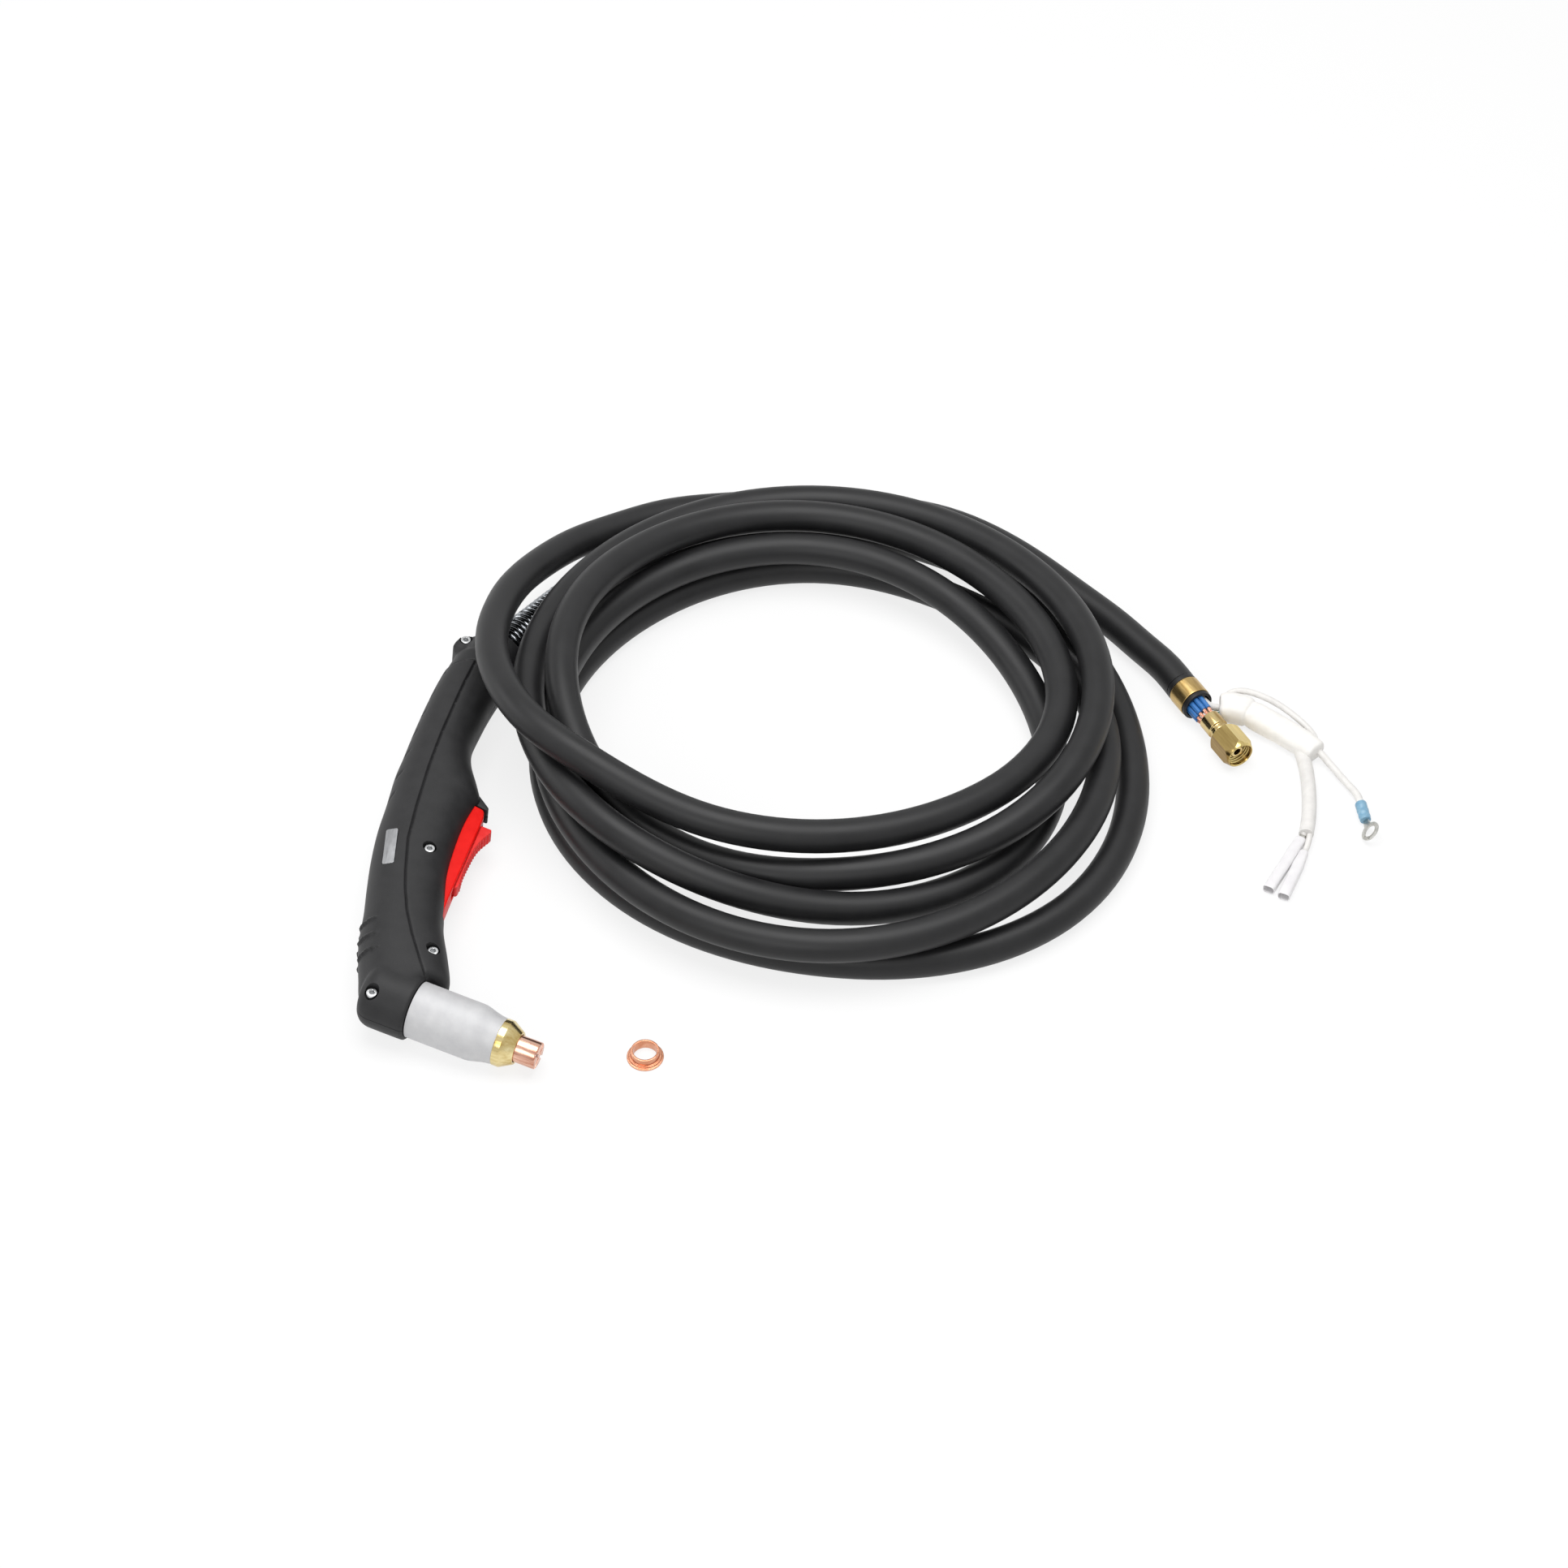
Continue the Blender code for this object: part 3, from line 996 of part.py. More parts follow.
def foam_sleeve(layout):
    read, along = smooth_route(np.asarray(FOAM_ROUTE) * MM)
    rings = []
    count = 9
    for i in range(count):
        place = along[-1] * i / (count - 1)
        centre = Vector(read(place))
        heading = Vector(read(place + 0.5 * MM)) - Vector(read(place - 0.5 * MM))
        swell = 0.72 if i in (0, count - 1) else 1.0
        rings.append(oval_ring(centre, heading, FOAM_HALF_WIDTH * swell, FOAM_HALF_HEIGHT * swell))
    finish_piece(lofted("control_foam_sleeve", rings), "white_foam", layout)


def ring_terminal(layout):
    heading = Vector((math.cos(CRIMP_BEARING), math.sin(CRIMP_BEARING), 0.0))
    wire_end = Vector(RING_WIRE_ROUTE[-1]) * MM
    start = wire_end + heading * SEAT_GAP
    crimp = [start + heading * CRIMP_LENGTH * t for t in (0.0, 0.5, 1.0)]
    tube("ring_crimp_sleeve", crimp, CRIMP_RADIUS, "crimp_blue", layout, resolution=3)
    root = start + heading * (CRIMP_LENGTH + SEAT_GAP)
    turn = Matrix.Translation((root.x, root.y, TERMINAL_LEVEL)) @ Matrix.Rotation(CRIMP_BEARING, 4, "Z")
    reach = TERMINAL_REACH
    terminal = post("ring_terminal", (reach, 0.0), TERMINAL_RADIUS, 0.0, TERMINAL_THICKNESS, 24)
    tongue = extruded("tongue", ((0.0, -TONGUE_HALF_WIDTH / MM), (reach / MM, -TONGUE_HALF_WIDTH / MM),
                                 (reach / MM, TONGUE_HALF_WIDTH / MM), (0.0, TONGUE_HALF_WIDTH / MM)),
                      0.0, TERMINAL_THICKNESS)
    combine(terminal, tongue, "UNION")
    combine(terminal, post("stud_hole", (reach, 0.0), TERMINAL_HOLE, -5.0 * MM, 5.0 * MM, 24), "DIFFERENCE")
    terminal.data.transform(turn)
    finish_piece(terminal, "tinned_copper", layout)


def push_on_connectors(layout):
    sleeve_end = Vector(PAIR_ROUTE[-1]) * MM
    for number, (x0, y0, x1, y1) in enumerate(CONNECTORS, 1):
        start = Vector((x0, y0, 0.0)) * MM
        end = Vector((x1, y1, 0.0)) * MM
        length = (end - start).length
        heading = (end - start).normalized()
        bearing = math.atan2(heading.y, heading.x)
        frame = Matrix.Translation(start + Vector((0, 0, CONNECTOR_LEVEL))) @ Matrix.Rotation(bearing, 4, "Z")
        cover = block("push_on_cover_%d" % number, (length, CONNECTOR_WIDTH, CONNECTOR_HEIGHT),
                      frame @ Matrix.Translation((length / 2, 0, 0)))
        inner = (CONNECTOR_HOLLOW * 2, CONNECTOR_WIDTH - 2 * CONNECTOR_WALL, CONNECTOR_HEIGHT - 2 * CONNECTOR_WALL)
        combine(cover, block("hollow", inner, frame @ Matrix.Translation((length, 0, 0))), "DIFFERENCE")
        finish_piece(cover, "clear_vinyl", layout)
        blade_length = CONNECTOR_HOLLOW - SEAT_GAP - BLADE_SET_BACK
        blade_middle = length - CONNECTOR_HOLLOW + SEAT_GAP + blade_length / 2
        blade_size = (blade_length, inner[1] - 2 * SEAT_GAP, inner[2] - 2 * SEAT_GAP)
        blade = block("push_on_receptacle_%d" % number, blade_size, frame @ Matrix.Translation((blade_middle, 0, 0)))
        slot_size = (blade_length, blade_size[1] * 0.8, 0.8 * MM)
        combine(blade, block("blade_slot", slot_size, frame @ Matrix.Translation((blade_middle + 4.0 * MM, 0, 0))),
                "DIFFERENCE")
        finish_piece(blade, "tinned_copper", layout)
        cover_face = start + Vector((0, 0, CONNECTOR_LEVEL)) - heading * SEAT_GAP
        leave = (sleeve_end - Vector(PAIR_ROUTE[-2]) * MM).normalized()
        side = Vector((-leave.y, leave.x, 0.0)) * math.copysign(1.8 * MM, number - 1.5)
        link = (sleeve_end + side + leave * 1.6 * SEAT_GAP, sleeve_end + side + leave * 2.0 * MM,
                cover_face - heading * 2.5 * MM, cover_face)
        tube("connector_wire_%d" % number, link, LINK_WIRE_RADIUS, "white_silicone", layout, resolution=1)


def control_branch(layout):
    foam_sleeve(layout)
    cords = (
        ("control_stub", STUB_ROUTE, STUB_RADIUS, "white_silicone"),
        ("green_wire", GREEN_ROUTE, GREEN_RADIUS, "green_pvc"),
        ("control_loop_wire", LOOP_WIRE_ROUTE, LOOP_WIRE_RADIUS, "white_silicone"),
        ("control_pair_sleeve", PAIR_ROUTE, PAIR_RADIUS, "white_silicone"),
        ("control_ring_wire", RING_WIRE_ROUTE, RING_WIRE_RADIUS, "white_silicone"),
    )
    for name, route, radius, finish in cords:
        tube(name, smooth_points(route, max(5.0 * MM, 3.0 * radius)), radius, finish, layout, resolution=1)
    ring_terminal(layout)
    push_on_connectors(layout)


def loose_ring(layout):
    ring = turned("loose_copper_ring", (
        (0.1 * MM, RING_HOLE_RADIUS), (0.1 * MM, RING_FLANGE_RADIUS), (RING_FLANGE_HEIGHT, RING_FLANGE_RADIUS),
        (RING_FLANGE_HEIGHT, RING_COLLAR_RADIUS), (RING_HEIGHT, RING_COLLAR_RADIUS), (RING_HEIGHT, RING_HOLE_RADIUS)))
    ring.data.transform(Matrix.Rotation(-math.pi / 2, 4, "Y"))
    ring.location = RING_PLACE
    finish_piece(ring, "copper", layout)


def main():
    clear_scene()
    layout = add_frame("layout_frame", Matrix.Translation(LAYOUT_PLACE))
    torch = add_frame("torch_frame", torch_matrix(), layout)
    end = add_frame("end_frame", end_matrix(), layout)
    handle_shells(torch)
    handle_screws(torch)
    handle_plate(torch)
    trigger_parts(torch)
    switch_parts(torch)
    head_parts(torch)
    lead_parts(layout)
    lead_end_parts(end)
    control_branch(layout)
    loose_ring(layout)
    bpy.context.view_layer.update()


main()
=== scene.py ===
import json
from math import asin, atan2, ceil, copysign, cos, pi, radians, sin, sqrt, tau

import bmesh
import bpy
import numpy as np
from mathutils import Euler, Matrix, Vector
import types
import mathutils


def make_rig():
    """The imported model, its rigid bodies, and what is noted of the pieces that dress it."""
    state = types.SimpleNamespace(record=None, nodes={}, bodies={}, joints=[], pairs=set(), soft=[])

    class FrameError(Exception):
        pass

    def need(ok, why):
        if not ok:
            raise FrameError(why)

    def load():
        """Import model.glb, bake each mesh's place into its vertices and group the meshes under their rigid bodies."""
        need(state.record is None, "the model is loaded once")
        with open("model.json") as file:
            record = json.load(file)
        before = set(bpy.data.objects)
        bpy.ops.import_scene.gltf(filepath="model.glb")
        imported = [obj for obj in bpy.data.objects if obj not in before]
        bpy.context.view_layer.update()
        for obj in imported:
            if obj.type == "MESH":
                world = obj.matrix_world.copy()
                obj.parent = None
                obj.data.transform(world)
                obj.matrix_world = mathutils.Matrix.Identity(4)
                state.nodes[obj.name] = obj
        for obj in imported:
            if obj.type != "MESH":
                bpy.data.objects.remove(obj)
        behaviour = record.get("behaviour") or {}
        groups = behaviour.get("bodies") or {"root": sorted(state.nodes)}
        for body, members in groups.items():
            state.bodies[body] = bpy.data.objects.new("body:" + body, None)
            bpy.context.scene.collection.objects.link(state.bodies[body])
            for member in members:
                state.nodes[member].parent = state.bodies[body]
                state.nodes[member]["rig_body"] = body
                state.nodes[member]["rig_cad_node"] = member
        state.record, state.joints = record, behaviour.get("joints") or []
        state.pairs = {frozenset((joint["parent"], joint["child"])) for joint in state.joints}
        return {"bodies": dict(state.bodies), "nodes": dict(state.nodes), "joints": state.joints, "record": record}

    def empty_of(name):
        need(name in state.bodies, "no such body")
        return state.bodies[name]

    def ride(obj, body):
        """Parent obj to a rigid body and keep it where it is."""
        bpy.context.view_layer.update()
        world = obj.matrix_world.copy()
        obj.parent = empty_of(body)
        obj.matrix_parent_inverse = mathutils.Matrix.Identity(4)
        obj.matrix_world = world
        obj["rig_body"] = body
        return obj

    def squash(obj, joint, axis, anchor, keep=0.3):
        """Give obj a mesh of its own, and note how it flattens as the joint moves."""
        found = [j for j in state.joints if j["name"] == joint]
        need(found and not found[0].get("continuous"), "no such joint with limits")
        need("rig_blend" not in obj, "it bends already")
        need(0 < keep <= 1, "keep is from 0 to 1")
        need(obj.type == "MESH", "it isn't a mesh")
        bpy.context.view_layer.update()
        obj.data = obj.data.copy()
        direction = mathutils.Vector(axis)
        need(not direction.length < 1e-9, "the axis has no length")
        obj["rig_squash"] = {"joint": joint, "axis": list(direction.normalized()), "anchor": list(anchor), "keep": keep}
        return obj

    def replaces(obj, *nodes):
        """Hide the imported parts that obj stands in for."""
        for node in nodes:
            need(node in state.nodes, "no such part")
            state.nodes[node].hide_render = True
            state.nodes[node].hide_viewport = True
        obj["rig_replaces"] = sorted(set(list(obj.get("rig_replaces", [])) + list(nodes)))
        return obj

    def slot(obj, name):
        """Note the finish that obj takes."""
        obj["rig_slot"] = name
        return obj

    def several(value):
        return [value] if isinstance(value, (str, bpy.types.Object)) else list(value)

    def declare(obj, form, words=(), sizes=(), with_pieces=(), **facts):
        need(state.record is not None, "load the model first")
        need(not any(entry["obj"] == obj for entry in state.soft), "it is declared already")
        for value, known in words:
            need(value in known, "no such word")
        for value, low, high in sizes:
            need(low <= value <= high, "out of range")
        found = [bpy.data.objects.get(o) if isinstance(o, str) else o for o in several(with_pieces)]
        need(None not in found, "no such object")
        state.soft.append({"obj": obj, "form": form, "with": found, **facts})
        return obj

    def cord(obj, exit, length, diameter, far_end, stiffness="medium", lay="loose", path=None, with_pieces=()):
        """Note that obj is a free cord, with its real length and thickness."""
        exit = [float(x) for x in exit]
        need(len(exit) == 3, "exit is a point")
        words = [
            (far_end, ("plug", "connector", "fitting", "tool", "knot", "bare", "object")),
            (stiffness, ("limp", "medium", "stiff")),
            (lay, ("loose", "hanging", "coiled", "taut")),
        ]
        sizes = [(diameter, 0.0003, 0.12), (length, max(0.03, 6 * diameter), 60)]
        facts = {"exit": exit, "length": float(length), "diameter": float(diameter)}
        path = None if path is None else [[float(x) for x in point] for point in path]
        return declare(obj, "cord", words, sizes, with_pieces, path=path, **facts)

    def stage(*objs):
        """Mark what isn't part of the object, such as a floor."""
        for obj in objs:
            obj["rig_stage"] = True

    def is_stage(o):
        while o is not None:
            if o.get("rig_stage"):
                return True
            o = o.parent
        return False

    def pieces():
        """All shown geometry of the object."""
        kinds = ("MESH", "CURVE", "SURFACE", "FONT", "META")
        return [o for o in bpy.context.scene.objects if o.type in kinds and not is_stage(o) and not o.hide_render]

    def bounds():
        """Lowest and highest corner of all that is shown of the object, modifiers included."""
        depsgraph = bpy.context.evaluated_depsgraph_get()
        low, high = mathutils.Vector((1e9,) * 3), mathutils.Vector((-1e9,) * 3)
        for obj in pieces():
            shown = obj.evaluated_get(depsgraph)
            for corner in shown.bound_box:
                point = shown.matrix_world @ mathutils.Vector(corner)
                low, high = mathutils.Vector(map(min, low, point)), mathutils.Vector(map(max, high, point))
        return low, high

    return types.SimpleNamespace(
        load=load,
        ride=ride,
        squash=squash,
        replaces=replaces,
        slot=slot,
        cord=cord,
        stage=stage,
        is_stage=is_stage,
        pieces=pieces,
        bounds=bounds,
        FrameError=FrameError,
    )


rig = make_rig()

# Plasma cutting hand torch on its side, its coiled lead, the fitting and the control wires
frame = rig.load()
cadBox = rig.bounds()
scene = bpy.context.scene
mm = 0.001
up = Vector((0, 0, 1))


def rotation(degrees, axis):
    return Matrix.Rotation(radians(degrees), 4, axis)


def linked(name, data, collection=scene.collection):
    item = bpy.data.objects.new(name, data)
    collection.objects.link(item)
    return item


# the layout's origin is the coil's centre; the torch has +X along the cup, the lead's end +X along the fitting
layoutMatrix = Matrix.Translation((0.1567, 0.0874, 0))
torchTurn = Euler([radians(angle) for angle in (-1.8, 6, -21.7)]).to_matrix().to_4x4()
torchMatrix = layoutMatrix @ Matrix.Translation((-0.203, -0.203, 0.01796)) @ torchTurn
endMatrix = layoutMatrix @ Matrix.Translation((0.194, 0.0345, 0.0094)) @ rotation(-62, "Z")


# a point given in mm of a frame, in the shared frame
def laid(point, matrix=layoutMatrix):
    return matrix @ (Vector(point) * mm)


# camera as the photograph was taken
view = {"target": (0.1367, 0.0574, 0), "elevation": 46, "distance": 2.15, "lens": 93.17, "sensor": 36, "far": 20}
cameraData = bpy.data.cameras.new("camera")
cameraData.lens = view["lens"]
cameraData.sensor_width = view["sensor"]
cameraData.clip_end = view["far"]
camera = linked("camera", cameraData)
tilt = radians(view["elevation"])
camera.location = Vector(view["target"]) + view["distance"] * Vector((0, -cos(tilt), sin(tilt)))
camera.rotation_euler = (pi / 2 - tilt, 0, 0)
scene.camera = camera
scene.view_settings.view_transform = "Standard"
print("camera placed")


# node and colour helpers
def hexColour(code):
    parts = [int(code[i:i + 2], 16) / 255 for i in (1, 3, 5)]
    return tuple(p / 12.92 if p <= 0.04045 else ((p + 0.055) / 1.055) ** 2.4 for p in parts) + (1,)


def addNode(tree, kind, settings=None, links=None):
    node = tree.nodes.new("ShaderNode" + kind)
    for key, value in (settings or {}).items():
        if isinstance(key, int) or key in node.inputs:
            node.inputs[key].default_value = value
        else:
            setattr(node, key, value)
    for key, socket in (links or {}).items():
        tree.links.new(socket, node.inputs[key])
    return node.outputs


slotOf = {}
waveScale = 0.314  # gives the wave texture one line for each pitch
paintedFacetWeight = 2.2


# a surface with two tones in soft patches, uneven gloss and a fine relief, sizes in mm; streak stretches the
# patches, ridge is the pitch and relief of lathe lines, and facet names an attribute of painted light per face
def makeSurface(name, slot, dark, light, patch, gloss, grain, relief, frameMatrix=None, streak=None, ridge=None,
                facet=None, metallic=0, ior=1.5, specular=0.5, sockets=None):
    slotOf[name] = slot
    material = bpy.data.materials.new(name)
    material.use_nodes = True
    tree = material.node_tree
    shader = tree.nodes["Principled BSDF"]
    plain = {"Metallic": metallic, "IOR": ior, "Specular IOR Level": specular}
    for key, value in {**plain, **(sockets or {})}.items():
        shader.inputs[key].default_value = value
    place = addNode(tree, "TexCoord")["Object"]
    if frameMatrix is not None:
        back = frameMatrix.inverted()
        turn = {"Location": back.to_translation(), "Rotation": back.to_euler()}
        place = addNode(tree, "Mapping", turn, {"Vector": place})["Vector"]
    spread = place
    if streak is not None:
        spread = addNode(tree, "Mapping", {"Scale": streak}, {"Vector": place})["Vector"]
    noise = {"Scale": 1 / (patch * mm), "Detail": 4, "Roughness": 0.6}
    patches = addNode(tree, "TexNoise", noise, {"Vector": spread})["Fac"]
    span = {"From Min": 0.3, "From Max": 0.7}
    tone = addNode(tree, "MapRange", span, {"Value": patches})["Result"]
    # painted light: each face's tone from the attribute is weighed in with the patches
    if facet is not None:
        flats = addNode(tree, "Attribute", {"attribute_name": facet})["Fac"]
        flats = addNode(tree, "Math", {"operation": "MULTIPLY", 1: paintedFacetWeight}, {0: flats})[0]
        both = addNode(tree, "Math", {}, {0: flats, 1: tone})[0]
        tone = addNode(tree, "MapRange", {"From Max": 1 + paintedFacetWeight}, {"Value": both})["Result"]
    mix = {"data_type": "RGBA", 6: hexColour(dark), 7: hexColour(light)}
    colour = addNode(tree, "Mix", mix, {0: tone})[2]
    span = {"From Min": 0.25, "From Max": 0.75, "To Min": gloss[0], "To Max": gloss[1]}
    shine = addNode(tree, "MapRange", span, {"Value": patches})["Result"]
    noise = {"Scale": 1 / (grain * mm), "Detail": 2}
    grit = addNode(tree, "TexNoise", noise, {"Vector": spread})["Fac"]
    height = {"Strength": 1, "Distance": relief * mm}
    bump = addNode(tree, "Bump", height, {"Height": grit})["Normal"]
    if ridge is not None:
        wave = {"bands_direction": "X", "Scale": waveScale / (ridge[0] * mm), "Distortion": 1.5, "Detail": 2,
                "Detail Scale": 1.5}
        lines = addNode(tree, "TexWave", wave, {"Vector": place})["Fac"]
        height = {"Strength": 1, "Distance": ridge[1] * mm}
        bump = addNode(tree, "Bump", height, {"Height": lines, "Normal": bump})["Normal"]
    for key, socket in {"Base Color": colour, "Roughness": shine, "Normal": bump}.items():
        tree.links.new(socket, shader.inputs[key])
    return material


# glass filled nylon, moulded in a spark-eroded tool: dark grey with a fine even grain and a broad dull shine
blackNylon = makeSurface(
    "glassFilledNylon", "black_nylon", "#222223", "#2a2a2b", 9, (0.48, 0.58), 0.7, 0.05, specular=0.28)
# extruded rubber jacket: smooth, satin black, with a faint chalky bloom from handling
blackRubber = makeSurface(
    "jacketRubber", "black_rubber", "#19191a", "#212122", 22, (0.40, 0.52), 1.2, 0.012, specular=0.32)
# moulded ABS, signal red, lightly polished
redAbs = makeSurface("redAbs", "red_plastic", "#e01410", "#ea1a14", 6, (0.36, 0.46), 0.8, 0.012, specular=0.2)
# the same ABS in a paler batch, rubbed by the thumb
paleRedAbs = makeSurface(
    "paleRedAbs", "pale_red_plastic", "#de2c2b", "#e83a38", 5, (0.4, 0.52), 0.8, 0.014, specular=0.2)
# cup of bead blasted and clear anodised aluminium: pale grey, soft wide highlight, faint lathe lines
anodised = makeSurface(
    "anodisedAluminium", "grey_satin", "#bcbcbe", "#c8c8c9", 7, (0.52, 0.62), 0.5, 0.008, torchMatrix,
    ridge=(0.9, 0.004), metallic=0.18)
# turned free-cutting brass: yellow, bright, with tool marks round the axis; the light and dark bands along the axis are
# painted reflections
torchBrass = makeSurface(
    "turnedBrassTorch", "brass", "#ba9b52", "#f8ebb8", 5.5, (0.16, 0.24), 0.5, 0.002, torchMatrix, (0.12, 1, 1),
    ridge=(0.7, 0.002), metallic=1)
endBrass = makeSurface(
    "turnedBrassEnd", "brass", "#9a7434", "#f2dfa6", 5, (0.14, 0.22), 0.5, 0.002, endMatrix, (0.1, 1, 1),
    ridge=(0.7, 0.002), metallic=1)
# the same brass on the nut, with painted reflections: each flat is lighter the more it faces one fixed direction,
# towards +X and up, and light and dark streaks run along the axis
nutBrass = makeSurface(
    "handledBrassNut", "brass", "#6f4c17", "#f6df96", 4, (0.14, 0.22), 0.5, 0.002, endMatrix, (0.1, 1, 1),
    facet="facet", metallic=1)
# rolled brass strip: flatter and browner where it has tarnished
bandBrass = makeSurface(
    "rolledBrassStrip", "brass", "#a98a50", "#d2b67c", 1.6, (0.26, 0.38), 0.6, 0.006, endMatrix, (0.12, 1, 1),
    metallic=1)
# turned copper: pink and bright; on the tip the light and dark streaks along the axis are painted reflections, while
# the loose ring is a little oxidised in patches
torchCopper = makeSurface(
    "turnedCopperTorch", "copper", "#b06c52", "#f8d0ba", 2.4, (0.18, 0.28), 0.4, 0.004, torchMatrix, (0.15, 1, 1),
    ridge=(0.6, 0.003), metallic=1)
looseCopper = makeSurface(
    "turnedCopperLoose", "copper", "#c98463", "#e4ab8e", 4, (0.18, 0.3), 0.4, 0.005, metallic=1)
# drawn copper strands: pale pink with a dull sheen
strandCopper = makeSurface("drawnCopper", "copper", "#cd8a6e", "#eebfa8", 2, (0.28, 0.4), 0.3, 0.004, metallic=1)
# zinc plated steel screws and pin: light grey and bright
platedSteel = makeSurface("zincPlatedSteel", "steel", "#c2c3c4", "#d6d7d8", 2, (0.2, 0.3), 0.3, 0.003, metallic=1)
# black oxide on drawn spring wire: near black, with bright patches scattered at random that are painted glints
springSteel = makeSurface(
    "blackOxideSpringWire", "blued_steel", "#1d1f22", "#c6cacf", 3, (0.1, 0.18), 0.4, 0.002, metallic=1)
# plain drawn wire of the small springs: mid grey
plainSpring = makeSurface("drawnSpringSteel", "steel", "#8e9093", "#b4b6b8", 2, (0.22, 0.3), 0.3, 0.003, metallic=1)
# satin aluminium plate let into the grip, lightly brushed along its length
plateFoil = makeSurface(
    "brushedAluminiumPlate", "silver_foil", "#98999b", "#adaeb0", 1.2, (0.34, 0.44), 0.4, 0.004,
    streak=(1, 0.25, 1), metallic=0.9)
# PVC insulation: strong colour with a soft plastic shine
bluePvc = makeSurface("bluePvc", "blue_pvc", "#2b66a8", "#3c7fc4", 4, (0.36, 0.48), 0.6, 0.008, ior=1.54)
greenPvc = makeSurface("greenPvc", "green_pvc", "#1d7a52", "#2a9467", 4, (0.36, 0.48), 0.6, 0.008, ior=1.54)
# soft white silicone wire, slightly dusty
whiteSilicone = makeSurface(
    "whiteSilicone", "white_silicone", "#dcdad7", "#e8e6e3", 5, (0.42, 0.56), 0.9, 0.012, ior=1.43,
    sockets={"Subsurface Weight": 0.1, "Subsurface Radius": (0.002, 0.002, 0.002)})
# wrapped white polyethylene foam: matt, fine closed cells
whiteFoam = makeSurface("closedCellFoam", "white_foam", "#ebe9e5", "#f3f1ee", 4, (0.62, 0.78), 0.7, 0.03, ior=1.49)
# milky vinyl: thin, soft, lets a little light through
milkyVinyl = makeSurface(
    "milkyVinyl", "clear_vinyl", "#eeecee", "#f4f3f4", 6, (0.28, 0.4), 2, 0.002, ior=1.45,
    sockets={"Transmission Weight": 0.12, "Subsurface Weight": 0.25, "Subsurface Radius": (0.003, 0.003, 0.003)})
# translucent blue nylon of a crimp sleeve
crimpNylon = makeSurface(
    "crimpNylon", "crimp_blue", "#6ea2c2", "#94bcd2", 3, (0.28, 0.4), 0.7, 0.006, ior=1.53,
    sockets={"Transmission Weight": 0.12})
# tinned copper sheet: warm silver, slightly mottled
tinnedCopper = makeSurface(
    "tinnedCopper", "tinned_copper", "#bdbdb8", "#dbdad5", 2.2, (0.26, 0.38), 0.4, 0.006, metallic=1)
# inside the head: matt tan steatite, dark brown phenolic and dull black rubber; the first two go on CAD nodes only
steatite = makeSurface("steatite", None, "#b9a58c", "#c9b69e", 3, (0.5, 0.65), 0.4, 0.02, ior=1.6)
phenolic = makeSurface("phenolicResin", None, "#4a2c1f", "#5a3728", 2.5, (0.45, 0.58), 0.4, 0.015, ior=1.6)
sealRubber = makeSurface(
    "nitrileRubber", "black_rubber", "#171718", "#202021", 2.5, (0.45, 0.55), 0.5, 0.01, ior=1.52)
print("materials made:", len(bpy.data.materials))

touching = 1e-7  # metres: points nearer than this are one
sliver = 4e-6  # metres: edges shorter than this go after carving


# shape helpers
def moved(shape, matrix):
    bmesh.ops.transform(shape, matrix=matrix, verts=shape.verts)
    return shape


def closeShape(shape):
    bmesh.ops.remove_doubles(shape, verts=shape.verts, dist=touching)
    bmesh.ops.recalc_face_normals(shape, faces=shape.faces)
    return shape


def toMesh(shape, name):
    mesh = bpy.data.meshes.new(name)
    shape.to_mesh(mesh)
    shape.free()
    return mesh


# the CAD node that a piece stands for has the piece's own name with underscores, unless others are given
def finishPiece(piece, material, body, stands):
    piece.data.materials.append(material)
    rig.ride(piece, body)
    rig.slot(piece, slotOf[material.name])
    node = "".join(c if c.islower() else "_" + c.lower() for c in piece.name)
    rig.replaces(piece, *(stands or [node]))
    return piece


def meshPiece(name, shape, matrix, material, body="torch", sharp=35, stands=None):
    mesh = toMesh(moved(shape, matrix), name)
    mesh.shade_smooth()
    mesh.set_sharp_from_angle(angle=radians(sharp))
    return finishPiece(linked(name, mesh), material, body, stands)


def wireCurve(name, lines, radius, roundness):
    curve = bpy.data.curves.new(name, "CURVE")
    curve.dimensions = "3D"
    curve.bevel_depth = radius * mm
    curve.bevel_resolution = roundness
    curve.use_fill_caps = True
    for points in lines:
        spline = curve.splines.new("POLY")
        spline.points.add(len(points) - 1)
        for knot, point in zip(spline.points, points):
            knot.co = (*point, 1)
    return linked(name, curve)


def curvePiece(name, lines, radius, material, roundness=5, stands=None):
    return finishPiece(wireCurve(name, lines, radius, roundness), material, "torch", stands)


# rounds the corners of a flat outline or profile
def roundCorners(points, radius, steps=4, closed=True):
    points = [Vector(p) for p in points]
    count = len(points)
    done = []
    for i, corner in enumerate(points):
        if not closed and i in (0, count - 1):
            done.append(corner)
            continue
        before = points[i - 1] - corner
        after = points[(i + 1) % count] - corner
        reach = min(radius, 0.45 * before.length, 0.45 * after.length)
        first = corner + before.normalized() * reach
        last = corner + after.normalized() * reach
        for step in range(steps + 1):
            t = step / steps
            done.append(first * (1 - t) ** 2 + corner * 2 * t * (1 - t) + last * t ** 2)
    return done


# a profile of (station, radius) turned about X, closed unless it starts on the axis
def spinProfile(profile, sides):
    shape = bmesh.new()
    points = [shape.verts.new((p[0] * mm, p[1] * mm, 0)) for p in profile]
    pairs = list(zip(points, points[1:]))
    if profile[0][1] > 0:
        pairs.append((points[-1], points[0]))
    geometry = points + [shape.edges.new(pair) for pair in pairs]
    bmesh.ops.spin(
        shape, geom=geometry, cent=(0, 0, 0), axis=(1, 0, 0), angle=tau, steps=sides, use_merge=True)
    return closeShape(shape)


def turnedShape(profile, corner, sides, steps=4):
    return spinProfile(roundCorners(profile, corner, steps, profile[0][1] > 0), sides)


